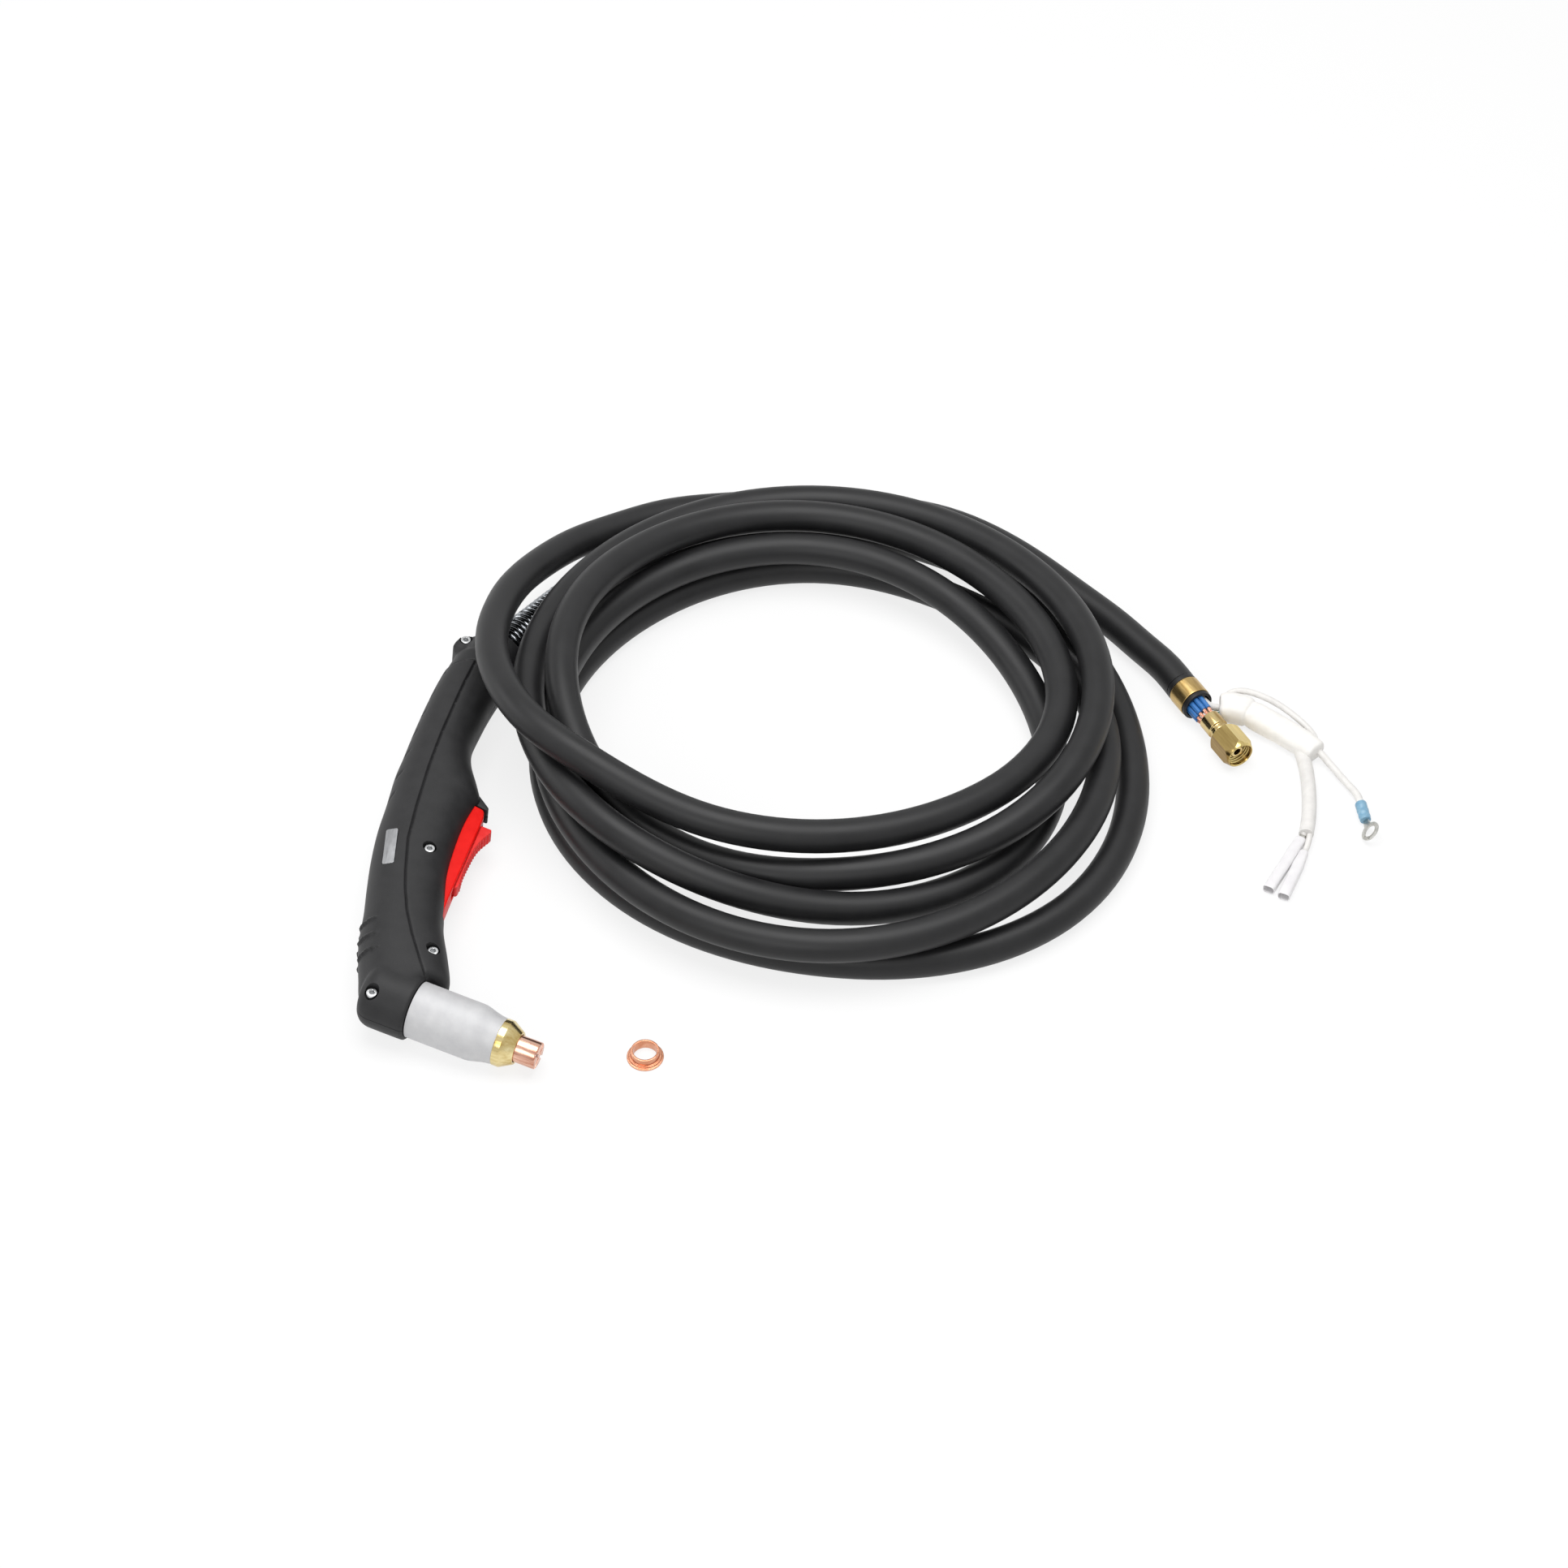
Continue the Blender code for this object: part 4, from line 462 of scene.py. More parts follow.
def easeRims(shape, ease, segments):
    rims = [e for e in shape.edges if abs(e.verts[0].co.z - e.verts[1].co.z) < touching]
    bmesh.ops.bevel(shape, geom=rims, offset=ease * mm, affect="EDGES", segments=segments, profile=0.5, material=-1)
    return shape


# a flat outline raised between two heights, with eased edges
def raiseOutline(outline, bottom, top, ease=0, segments=3):
    shape = bmesh.new()
    face = shape.faces.new([shape.verts.new((p[0] * mm, p[1] * mm, bottom * mm)) for p in outline])
    raised = bmesh.ops.extrude_face_region(shape, geom=[face])["geom"]
    lifted = [item for item in raised if isinstance(item, bmesh.types.BMVert)]
    bmesh.ops.translate(shape, verts=lifted, vec=(0, 0, (top - bottom) * mm))
    closeShape(shape)
    return easeRims(shape, ease, segments) if ease else shape


def roundPost(centre, radius, bottom, top, sides=32):
    shape = bmesh.new()
    middle = Matrix.Translation(Vector((centre[0], centre[1], (bottom + top) / 2)) * mm)
    bmesh.ops.create_cone(shape, cap_ends=True, segments=sides, radius1=radius * mm, radius2=radius * mm,
                          depth=(top - bottom) * mm, matrix=middle)
    return shape


# rings of (centre, half width vector, half height vector) joined one to the next and closed at both ends
def loftRings(stations, sides, squareness=2):
    shape = bmesh.new()
    power = 2 / squareness
    loops = []
    for centre, across, rise in stations:
        ring = bmesh.ops.create_circle(shape, segments=sides, radius=1)["verts"]
        for vert in ring:
            c, s = vert.co.x, vert.co.y
            vert.co = centre + across * copysign(abs(c) ** power, c) + rise * copysign(abs(s) ** power, s)
        loops.append(ring)
    for lower, upper in zip(loops, loops[1:]):
        for i in range(sides):
            shape.faces.new((lower[i - 1], lower[i], upper[i], upper[i - 1]))
    bmesh.ops.holes_fill(shape, edges=[e for e in shape.edges if e.is_boundary], sides=0)
    return closeShape(shape)


def looseObject(shape, collection):
    return linked("loose", toMesh(shape, "loose"), collection)


def evaluated(loose):
    bpy.context.view_layer.update()
    mesh = bpy.data.meshes.new_from_object(loose.evaluated_get(bpy.context.evaluated_depsgraph_get()))
    shape = bmesh.new()
    shape.from_mesh(mesh)
    bpy.data.meshes.remove(mesh)
    return shape


def carve(shape, tools, operation="DIFFERENCE"):
    bench = bpy.data.collections.new("bench")
    rack = bpy.data.collections.new("rack")
    for collection in (bench, rack):
        scene.collection.children.link(collection)
    body = looseObject(shape, bench)
    for tool in tools:
        looseObject(tool, rack)
    change = body.modifiers.new("carve", "BOOLEAN")
    change.operation = operation
    change.solver = "EXACT"
    change.operand_type = "COLLECTION"
    change.collection = rack
    result = evaluated(body)
    for collection in (bench, rack):
        for loose in list(collection.objects):
            bpy.data.meshes.remove(loose.data)
        bpy.data.collections.remove(collection)
    bmesh.ops.remove_doubles(result, verts=result.verts, dist=sliver)
    bmesh.ops.dissolve_degenerate(result, edges=result.edges, dist=sliver)
    return result


def mergeShapes(shapes):
    whole = bmesh.new()
    for shape in shapes:
        mesh = toMesh(shape, "part")
        whole.from_mesh(mesh)
        bpy.data.meshes.remove(mesh)
    return whole


# natural cubic spline through values at knots
def cubicThrough(knots, values):
    knots = np.asarray(knots, float)
    values = np.asarray(values, float)
    count = len(knots)
    step = np.diff(knots)
    slope = np.diff(values, axis=0) / step[:, None]
    system = np.eye(count)
    right = np.zeros_like(values)
    for i in range(1, count - 1):
        system[i, i - 1:i + 2] = (step[i - 1], 2 * (step[i - 1] + step[i]), step[i])
        right[i] = 6 * (slope[i] - slope[i - 1])
    bend = np.linalg.solve(system, right)

    def read(place):
        i = int(np.clip(np.searchsorted(knots, place) - 1, 0, count - 2))
        left, passed, wide = knots[i + 1] - place, place - knots[i], step[i]
        return (bend[i] * left ** 3 + bend[i + 1] * passed ** 3) / (6 * wide) \
            + (values[i] / wide - bend[i] * wide / 6) * left \
            + (values[i + 1] / wide - bend[i + 1] * wide / 6) * passed

    return read


def smoothRoute(points):
    points = np.asarray(points, float)
    along = np.concatenate(([0], np.cumsum(np.linalg.norm(np.diff(points, axis=0), axis=1))))
    return cubicThrough(along, points), along[-1]


def sampled(read, start, end, step):
    count = max(3, int(ceil((end - start) / step)) + 1)
    return [Vector(read(place)) for place in np.linspace(start, end, count)]


# a route in mm of a frame, sampled evenly in the shared frame
def laidRoute(route, matrix, step):
    read, length = smoothRoute([laid(point, matrix) for point in route])
    return sampled(read, 0, length, step * mm)


def measure(points):
    return sum((b - a).length for a, b in zip(points, points[1:]))


def headingAt(read, place, probe):
    return Vector(read(place + probe * mm)) - Vector(read(place - probe * mm))


def helix(read, start, pitch, count, radius, perTurn):
    points = []
    side = up.copy()
    for i in range(count * perTurn + 1):
        place = start + pitch * i / perTurn
        along = headingAt(read, place, 0.5).normalized()
        side = (side - along * side.dot(along)).normalized()
        turn = tau * i / perTurn
        points.append(Vector(read(place)) + (side * cos(turn) + along.cross(side) * sin(turn)) * radius)
    return points


# lead: collar, coil and run to the fitting, as the CAD lays it
lead = {
    "radius": 8.75, "inset": 2, "collarStart": (-68.4, 228, 0), "collarLean": 7, "collarLength": 20,
    "bearings": 8, "perTurn": 24, "offFloor": 0.05, "step": 7, "roundness": 8,
    "tail": (
        (-157.2, 75.1, 13.6), (-136.5, 101.5, 11.2), (-107.5, 128, 9.4), (-77, 144.8, 8.8), (-44.7, 155.7, 8.8)),
    "turns": (  # radius and height at the bearings, clockwise from the back
        (160, 8.8), (155, 8.8), (162, 8.8), (179, 8.8), (162, 8.8), (154, 8.8), (146, 8.8), (134, 8.8),
        (128.5, 8.8), (127, 10.5), (147, 19.8), (162, 26), (169, 27), (157, 27), (144, 27),
        (134, 27.2), (123, 27.2), (112, 21.5), (120, 10.5), (136, 13), (137, 20.5), (150.5, 45.6),
        (155, 43), (159, 34), (163, 27.4), (153, 32), (146, 39), (133, 34), (119.5, 26),
        (131, 34), (137, 56.5), (142.5, 46), (142.5, 34), (131.5, 32), (127, 32.2), (112, 38),
        (109, 43.5), (129, 56)),
    "runOut": (
        (-124.7, -72, 64.6), (-150, -49.4, 67), (-165.2, -21.8, 64), (-174, 13, 57.5), (-173, 51, 48.5),
        (-164.4, 84, 39.5), (-152.5, 107.8, 32), (-134, 131.8, 25), (-113, 149.3, 19.5), (-86.5, 166, 14.5),
        (-57, 175.2, 10.8), (-27.3, 179.6, 8.9), (1, 180, 8.8), (36.7, 175.6, 8.8), (68.5, 167, 8.8),
        (97.5, 149.6, 8.8), (121.5, 127.6, 8.8), (142.8, 104.2, 8.8), (161.7, 82.6, 8.9), (176.6, 62.6, 9.1)),
}


def coilPoints():
    read = cubicThrough(range(len(lead["turns"])), lead["turns"])
    steps = lead["perTurn"] // lead["bearings"]
    for i in range((len(lead["turns"]) - 1) * steps + 1):
        radius, height = read(i / steps)
        bearing = pi / 2 - tau * i / lead["perTurn"]
        yield radius * cos(bearing), radius * sin(bearing), max(height, lead["radius"] + lead["offFloor"])


lean = radians(lead["collarLean"])
collarAxis = Vector((sin(lean), cos(lean), 0))
collarStart = Vector(lead["collarStart"]) * mm
leadEnd = endMatrix.to_translation()
endAxis = endMatrix.to_3x3() @ Vector((1, 0, 0))
knots = [torchMatrix @ (collarStart + collarAxis * lead[reach] * mm) for reach in ("inset", "collarLength")]
knots += [laid(point) for point in (*lead["tail"], *coilPoints(), *lead["runOut"])]
knots += [leadEnd - endAxis * 2 * lead["radius"] * mm, leadEnd]
leadRead, leadLength = smoothRoute(knots)
leadPoints = sampled(leadRead, 0, leadLength, lead["step"] * mm)
leadPiece = curvePiece("leadJacket", [leadPoints], lead["radius"], blackRubber, lead["roundness"],
                       ["lead_tail", "lead_coil", "lead_run_out"])
print("lead laid, mm:", round(measure(leadPoints) / mm))

# spring strain relief wound loosely round the lead
relief = {"wire": 1, "clearance": 0.8, "pitch": 3.35, "curls": 22, "start": 3, "perTurn": 28, "roundness": 3}
reliefRadius = lead["radius"] + relief["clearance"] + relief["wire"]
reliefPoints = helix(
    leadRead, relief["start"] * mm, relief["pitch"] * mm, relief["curls"], reliefRadius * mm, relief["perTurn"])
curvePiece("strainReliefSpring", [reliefPoints], relief["wire"], springSteel, relief["roundness"])

# wires of the control branch, as the CAD lays them
branchStep = 2
branch = {
    "loop": {"name": "controlLoopWire", "radius": 1.75, "material": whiteSilicone, "roundness": 5, "route": (
        (217.2, 27.4, 7), (220.4, 29.4, 9), (226, 29.4, 10.6), (235, 26, 11), (244, 21, 9.8),
        (254, 12.5, 7.8), (261, 3.4, 6.6), (263.4, -3.6, 6.6), (263.6, -7.6, 6.6))},
    "pair": {"name": "controlPairSleeve", "radius": 3.9, "material": whiteSilicone, "roundness": 7, "route": (
        (255.2, -10.6, 4.8), (256.2, -16.4, 4.2), (257, -31, 4.1), (256.4, -47, 4.1), (254.8, -60, 4.1),
        (252.6, -70.6, 4.1))},
    "ring": {"name": "controlRingWire", "radius": 2, "material": whiteSilicone, "roundness": 5, "route": (
        (261.6, -7.4, 5.6), (265.2, -11.8, 5), (268.6, -17, 4.2), (272.6, -23.6, 3.4), (278.6, -33.8, 2.8),
        (282.6, -42.4, 3.2), (283.4, -47.4, 3.25))},
    "stub": {"name": "controlStub", "radius": 1.9, "material": whiteSilicone, "roundness": 5, "route": (
        (200.6, 30.6, 11.3), (204.1, 24, 11.3), (206.2, 20.2, 11), (209.2, 18.2, 10), (213, 18.9, 8.4))},
    "green": {"name": "greenWire", "radius": 1.1, "material": greenPvc, "roundness": 5, "route": (
        (201, 30.9, 7.3), (204.6, 24.3, 7.3), (206.8, 20, 7.2), (209.6, 16.4, 6.8), (213.4, 16.4, 6.4))},
}
for wire in branch.values():
    wire["points"] = laidRoute(wire["route"], layoutMatrix, branchStep)
    wire["piece"] = curvePiece(wire["name"], [wire["points"]], wire["radius"], wire["material"], wire["roundness"])
print("cords laid")


# floor, light and world
def addLamp(name, energy, size, place, aim):
    data = bpy.data.lights.new(name, "AREA")
    data.energy = energy
    data.shape = "RECTANGLE"
    data.size, data.size_y = size
    lamp = linked(name, data)
    lamp.location = place
    lamp.rotation_euler = (Vector(aim) - Vector(place)).to_track_quat("-Z", "Y").to_euler()


def emptyTree(owner):
    owner.use_nodes = True
    owner.node_tree.nodes.clear()
    return owner.node_tree


# one where the eye, a reflection or a look through vinyl meets the surface, else nothing
def seenDirectly(tree):
    path = addNode(tree, "LightPath")
    seen = path["Is Camera Ray"]
    for ray in ("Is Glossy Ray", "Is Transmission Ray"):
        seen = addNode(tree, "Math", {"operation": "MAXIMUM"}, {0: seen, 1: path[ray]})[0]
    return seen


stage = {
    "floor": 30, "floorTone": "#f4f4f4", "glow": 0.8, "ambient": 0.5,
    "lamps": (  # name, power, size, place, aim
        ("overheadSoftbox", 26, (1.6, 1.2), (0.15, 0.15, 1.7), (0.1, 0.05, 0)),
        ("frontSoftbox", 10, (1.2, 0.8), (-0.5, -1.6, 1.3), (0.1, 0, 0)),
        ("sideSoftbox", 5, (1, 0.7), (-1.6, 0.5, 0.7), (0, 0.05, 0))),
}
floorShape = bmesh.new()
bmesh.ops.create_grid(floorShape, x_segments=2, y_segments=2, size=stage["floor"] / 2)
floor = linked("floor", toMesh(floorShape, "floor"))
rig.stage(floor)

# plain white sheet: matt, and seen as white by the eye, by metal and through vinyl
sheet = bpy.data.materials.new("whiteStudioSheet")
tree = emptyTree(sheet)
matt = addNode(tree, "BsdfDiffuse", {"Color": hexColour(stage["floorTone"])})
glow = addNode(tree, "Emission", {"Strength": 1})
share = addNode(tree, "Math", {"operation": "MULTIPLY", 1: stage["glow"]}, {0: seenDirectly(tree)})
blend = addNode(tree, "MixShader", {}, {0: share[0], 1: matt[0], 2: glow[0]})
addNode(tree, "OutputMaterial", {}, {"Surface": blend[0]})
floor.data.materials.append(sheet)

scene.world = bpy.data.worlds.new("studio")
tree = emptyTree(scene.world)
soft = addNode(tree, "Background", {"Strength": stage["ambient"]})
white = addNode(tree, "Background", {"Strength": 1})
blend = addNode(tree, "MixShader", {}, {0: seenDirectly(tree), 1: soft[0], 2: white[0]})
addNode(tree, "OutputWorld", {}, {"Surface": blend[0]})
for lamp in stage["lamps"]:
    addLamp(*lamp)
print("stage set")

# handle: two moulded shells, in torch mm
handle = {
    "stations": (  # back x, back y, front x, front y, half thickness from the head to the collar
        (-13, -15.4, -0.6, 15.6, 15.8), (-22, -11.6, 1.5, 16, 15.8), (-28.4, -5, 5, 16.4, 15.7),
        (-33, 4, 8, 17.6, 15.8), (-37.5, 13, 8.5, 22, 16.2), (-43.5, 26, 1.5, 34.5, 16.7),
        (-49, 43, -8, 50, 17), (-55, 59, -14.5, 66, 17), (-61, 76, -21, 83, 17),
        (-66.5, 95, -25.2, 101, 17), (-70.5, 114, -28, 119, 17), (-74.5, 131, -28.4, 133, 17),
        (-76, 139, -28, 138.5, 17), (-77, 147, -33.5, 147, 17), (-79, 160, -43, 160, 16.8),
        (-81, 174, -49, 174, 16.5), (-83, 190, -51, 190, 16.4), (-84.5, 206, -52, 206, 16.4),
        (-85, 222, -52, 222, 16.4), (-84.9, 230, -51.8, 230, 16.4)),
    "between": 6, "sides": 44, "squareness": 2.4, "voxel": 1, "smoothing": 7, "partingGap": 0.3, "beyond": 40,
    "headRadius": 16.3, "headBack": -27, "headFront": -0.3,
    "headRound": ((0, 7), (1, 3.6), (3.4, 1.1), (6.6, 0)),  # on from the back, in from the radius
    "collarFoot": -4, "collarRadius": 16.5, "collarRound": 1.5,
    "ear": ((-83, 239.4, 4.5, 9.5), (-82.4, 235.6, 6.2, 8.6)),  # x, y, radius, half height
    "wall": 2.6, "cavityFoot": (-25, 1, -4, 5, 13.6), "firstHollow": 5, "cavitySides": 20,
    "headBore": ((-22, 0), (-22, 13), (-3.3, 13), (-3.3, 12.4), (5, 12.4), (5, 0)),
    "collarBore": (-3, 24), "collarGap": 0.3,
    "screws": ((-34.7, 88.8, 11.5), (-4.8, 29.1, 8.8), (-20, -9.5, 9.2), (-83.6, 240, 5.8)),  # x, y, seat height
    "screwPost": 4.3, "counterbore": 3.6, "screwHole": 1.7, "screwHoleEnd": -9.3,
    "pivot": (-18, 59.5), "pinRadius": 1.5, "pinHalf": 10.9, "pinGap": 0.3, "pinEase": 0.25, "pinStop": (3.6, 6.7),
    "tubeStops": ((-24, 42), (-61, 135), (-67.8, 200)), "tubeStop": (4, 4.3),  # stop: radius, half gap
    "cupSeat": ((-0.36, 0), (-0.36, 15.45), (20, 15.45), (20, 0)),
    "mouth": ((-24.5, 53.6), (-8, 57.6), (-10, 80), (-16, 135.8), (-40, 135.8), (-33, 90)),
    "mouthHalf": 6.3, "lipHalf": 5.2, "lipRound": 0.7, "lipEase": 0.4,
    "lip": ((-37, 143.6), (-31, 142.4), (-26.8, 139.4), (-22.6, 136.3), (-22.3, 134.9), (-23.2, 134.4),
            (-31, 135.6), (-37, 136.4)),
}
switch = {"centre": (-42.2, 113, 0), "turn": 8.3, "stopShifts": (-11, 11), "stop": (3.2, 5.8)}
switchMatrix = Matrix.Translation(Vector(switch["centre"]) * mm) @ rotation(switch["turn"], "Z")
plate = {"centre": (-52.8, 80.2, 15.3), "size": (24, 6.4, 0.8), "corner": 1.3, "turn": 110, "tilt": -21,
         "ease": 0.18, "gap": 0.3, "pocketTop": 6}
plateMatrix = Matrix.Translation(Vector(plate["centre"]) * mm) @ rotation(plate["turn"], "Z") \
    @ rotation(plate["tilt"], "X")
collarMatrix = Matrix.Translation(collarStart) @ Matrix.Rotation(pi / 2 - lean, 4, "Z")

# marks on the skin: the saddle's two edges, swept ribs by the head and leaf dents on the back
marks = {
    "spine": ((-70, 221), (-68.6, 204), (-66.5, 186), (-63.5, 164), (-59.4, 140), (-53, 111),
              (-47, 88), (-39, 68), (-34, 57), (-27, 44), (-18, 31), (-6.7, 17), (1.4, 8),
              (9, 0)),
    "saddleEnd": ((-96, 208), (-84, 214.5), (-77.3, 217.6), (-72, 220.5), (-60, 225)),
    "step": (0.5, 0.12), "groove": (0.75, 0.5, 0.45),  # height and width; depth, distance out and width
    "ribs": (((-37.6, 34.9, 14.6), (-41.3, 33.2, 12.8), (-44.2, 32.2, 9), (-45.8, 32.4, 3)),
             ((-33.7, 26.3, 14.6), (-37, 24.4, 12.8), (-40.3, 22.6, 9), (-42, 22.7, 3)),
             ((-29.4, 17.9, 14.6), (-33, 15.9, 12.8), (-36.5, 14, 9), (-37.8, 13.4, 3))),
    "rib": (0.95, 0.85), "ribGroove": (0.55, 0.7), "ribShift": 1.5, "ribLow": (0.5, 3), "ribHigh": (15.2, 2.5),
    "dents": ((-81, 209.6), (-80.1, 193.2), (-77.9, 178.3), (-76.6, 163.6), (-74.7, 148.5), (-71, 132.6),
              (-68.2, 117.9)),
    "dentHeight": 8, "dent": (0.75, 3.2, 0.95), "dentReach": 9, "dentSlant": (0.62, 0.78),
    "back": (-0.12, 0.99, 0), "probe": 0.6, "busy": (0.1, 0.28),
}


def handleRing(row, inset):
    back = Vector((row[0], row[1], 0))
    front = Vector((row[2], row[3], 0))
    across = (front - back) / 2
    return (back + across) * mm, across.normalized() * (across.length - inset) * mm, up * (row[4] - inset) * mm


# rows of a table with smooth rows put between them
def rowsBetween(table, between):
    table = np.array(table)
    wide = np.vstack((2 * table[0] - table[1], table, 2 * table[-1] - table[-2]))
    rows = []
    for place in np.linspace(0, len(table) - 1, (len(table) - 1) * between + 1):
        i = min(int(place), len(table) - 2)
        t = place - i
        a, b, c, d = wide[i:i + 4]
        square, cube = 2 * a - 5 * b + 4 * c - d, 3 * b - a - 3 * c + d
        rows.append(0.5 * (2 * b + (c - a) * t + square * t ** 2 + cube * t ** 3))
    return rows


# distance of points from a line of corners, and the side of it they lie on
def lineDistance(points, line):
    nearest = np.full(len(points), np.inf)
    side = np.zeros(len(points))
    for a, b in zip(line, line[1:]):
        a, b = np.array(a, float), np.array(b, float)
        along = b - a
        t = np.clip((points - a) @ along / max(along @ along, 1e-9), 0, 1)
        gap = points - a - t[:, None] * along
        far = np.linalg.norm(gap, axis=1)
        nearer = far < nearest
        nearest[nearer] = far[nearer]
        side[nearer] = np.sign(along[0] * gap[nearer, 1] - along[1] * gap[nearer, 0])
    return nearest, side


# how far a point lies inside the raised saddle on the handle's back, less than nothing outside it
def saddleDepth(points):
    far, side = lineDistance(points[:, :2], marks["spine"])
    endFar, endSide = lineDistance(points[:, :2], marks["saddleEnd"])
    return np.minimum(-side * far, -endSide * endFar)


def skinArrays(shape):
    shape.normal_update()
    points = np.array([v.co for v in shape.verts]) / mm
    normals = np.array([v.normal for v in shape.verts])
    return points, normals


def nearestTo(spot, points):
    return np.argmin(np.linalg.norm(points - spot, axis=1))


def snapped(points, line, parts=6):
    dense = []
    for a, b in zip(line, line[1:]):
        dense += [np.array(a) + (np.array(b) - np.array(a)) * i / parts for i in range(parts)]
    dense.append(np.array(line[-1]))
    return [points[nearestTo(spot, points)] for spot in dense]


# lift of the skin in mm: saddle step with its groove, ribs with a groove beside each, and dents
def skinLift(points, normals, ribLines, dentSpots):
    depth = saddleDepth(points)
    height, width = marks["step"]
    lift = height / (1 + np.exp(-depth / width))
    height, out, width = marks["groove"]
    lift -= height * np.exp(-((depth + out) / width) ** 2)
    even = points * np.array((1, 1, 0)) + np.abs(points[:, 2:]) * np.array((0, 0, 1))
    (low, rise), (high, fall) = marks["ribLow"], marks["ribHigh"]
    fade = np.clip((even[:, 2] - low) / rise, 0, 1) * np.clip((high - even[:, 2]) / fall, 0, 1)
    for line in ribLines:
        height, width = marks["rib"]
        lift += fade * height * np.exp(-(lineDistance(even, line)[0] / width) ** 2)
        height, width = marks["ribGroove"]
        beside = even + np.array((0, marks["ribShift"], 0))
        lift -= fade * height * np.exp(-(lineDistance(beside, line)[0] / width) ** 2)
    along = np.array(marks["back"])
    height, longHalf, shortHalf = marks["dent"]
    for spot in dentSpots:
        near = np.linalg.norm(even - spot, axis=1) < marks["dentReach"]
        normal = normals[nearestTo(spot, points)]
        across = np.cross(along, normal)
        across *= copysign(1, across[2]) / np.linalg.norm(across)
        longWay = marks["dentSlant"][0] * along + marks["dentSlant"][1] * across
        gap = even[near] - spot
        u, v = gap @ longWay / longHalf, gap @ np.cross(longWay, normal) / shortHalf
        lift[near] -= height * np.exp(-(u ** 4 + v ** 2))
    return lift


def handleSkin():
    rings = [handleRing(row, 0) for row in rowsBetween(handle["stations"], handle["between"])]
    trunk = loftRings(rings, handle["sides"], handle["squareness"])
    back, front, radius = handle["headBack"], handle["headFront"], handle["headRadius"]
    profile = [(back + on, radius - inward) for on, inward in handle["headRound"]]
    head = spinProfile([(back, 0)] + profile + [(front, radius), (front, 0)], 64)
    foot, rim, ease = handle["collarFoot"], handle["collarRadius"], handle["collarRound"]
    length = lead["collarLength"]
    collar = spinProfile(((foot, 0), (foot, rim), (length - ease, rim), (length, rim - ease), (length, 0)), 64)
    ear = [roundPost((x, y), radius, -half, half) for x, y, radius, half in handle["ear"]]
    bench = looseObject(mergeShapes([trunk, head, moved(collar, collarMatrix)] + ear), scene.collection)
    remesh = bench.modifiers.new("remesh", "REMESH")
    remesh.mode = "VOXEL"
    remesh.voxel_size = handle["voxel"] * mm
    ease = bench.modifiers.new("ease", "SMOOTH")
    ease.factor = 0.5
    ease.iterations = handle["smoothing"]
    skin = evaluated(bench)
    bpy.data.meshes.remove(bench.data)
    points, normals = skinArrays(skin)
    ribLines = [snapped(points, line) for line in marks["ribs"]]
    dentSpots = [points[nearestTo(np.array((x, y, marks["dentHeight"])), points)] for x, y in marks["dents"]]
    for limit in marks["busy"]:
        change = skinLift(points, normals, ribLines, dentSpots) \
            - skinLift(points + marks["probe"], normals, ribLines, dentSpots)
        busy = np.abs(change) > limit
        skin.verts.index_update()
        fine = [e for e in skin.edges if busy[e.verts[0].index] or busy[e.verts[1].index]]
        bmesh.ops.subdivide_edges(skin, edges=fine, cuts=1, use_grid_fill=True)
        points, normals = skinArrays(skin)
    for vert, rise in zip(skin.verts, skinLift(points, normals, ribLines, dentSpots)):
        vert.co += vert.normal * (rise * mm)
    print("handle skin faces:", len(skin.faces))
    return skin


def handleCavity():
    beyond, sides = handle["beyond"], 24
    rows = [handle["cavityFoot"], *handle["stations"][handle["firstHollow"]:]]
    rings = [handleRing(row, handle["wall"]) for row in rows]
    trunk = loftRings(rings, handle["cavitySides"], handle["squareness"])
    bore = reliefRadius + relief["wire"] + handle["collarGap"]
    foot, end = handle["collarBore"]
    collarBore = moved(spinProfile(((foot, 0), (foot, bore), (end, bore), (end, 0)), 40), collarMatrix)
    cavity = carve(carve(trunk, [spinProfile(handle["headBore"], 40)], "UNION"), [collarBore], "UNION")
    columns = [roundPost(screw, handle["screwPost"], -beyond, beyond, sides) for screw in handle["screws"][:3]]
    stops = [(handle["pivot"], *handle["pinStop"])]
    stops += [(centre, *handle["tubeStop"]) for centre in handle["tubeStops"]]
    for shift in switch["stopShifts"]:
        stops.append(([c / mm for c in laid((0, shift, 0), switchMatrix)], *switch["stop"]))
    for centre, radius, gap in stops:
        columns += [roundPost(centre, radius, gap, beyond, sides), roundPost(centre, radius, -beyond, -gap, sides)]
    return carve(cavity, columns)


def roundedPlate(size, corner, bottom, top, ease=0):
    w, h = size[0] / 2, size[1] / 2
    return raiseOutline(roundCorners(((-w, -h), (w, -h), (w, h), (-w, h)), corner, 6), bottom, top, ease)


def handleTools():
    beyond = handle["beyond"]
    tools = [spinProfile(handle["cupSeat"], 72)]
    tools.append(raiseOutline(handle["mouth"], -handle["mouthHalf"], handle["mouthHalf"]))
    for x, y, seat in handle["screws"]:
        end = -beyond if y > lead["collarStart"][1] else handle["screwHoleEnd"]
        tools.append(roundPost((x, y), handle["counterbore"], seat, beyond, 40))
        tools.append(roundPost((x, y), handle["screwHole"], end, beyond, 24))
    half = handle["pinHalf"] + handle["pinGap"]
    tools.append(roundPost(handle["pivot"], handle["pinRadius"] + handle["pinGap"], -half, half, 24))
    w, h, thick = plate["size"]
    gap = plate["gap"]
    pocket = roundedPlate((w + 2 * gap, h + 2 * gap), plate["corner"] + gap, -thick / 2 - gap, plate["pocketTop"])
    return tools + [moved(pocket, plateMatrix)]


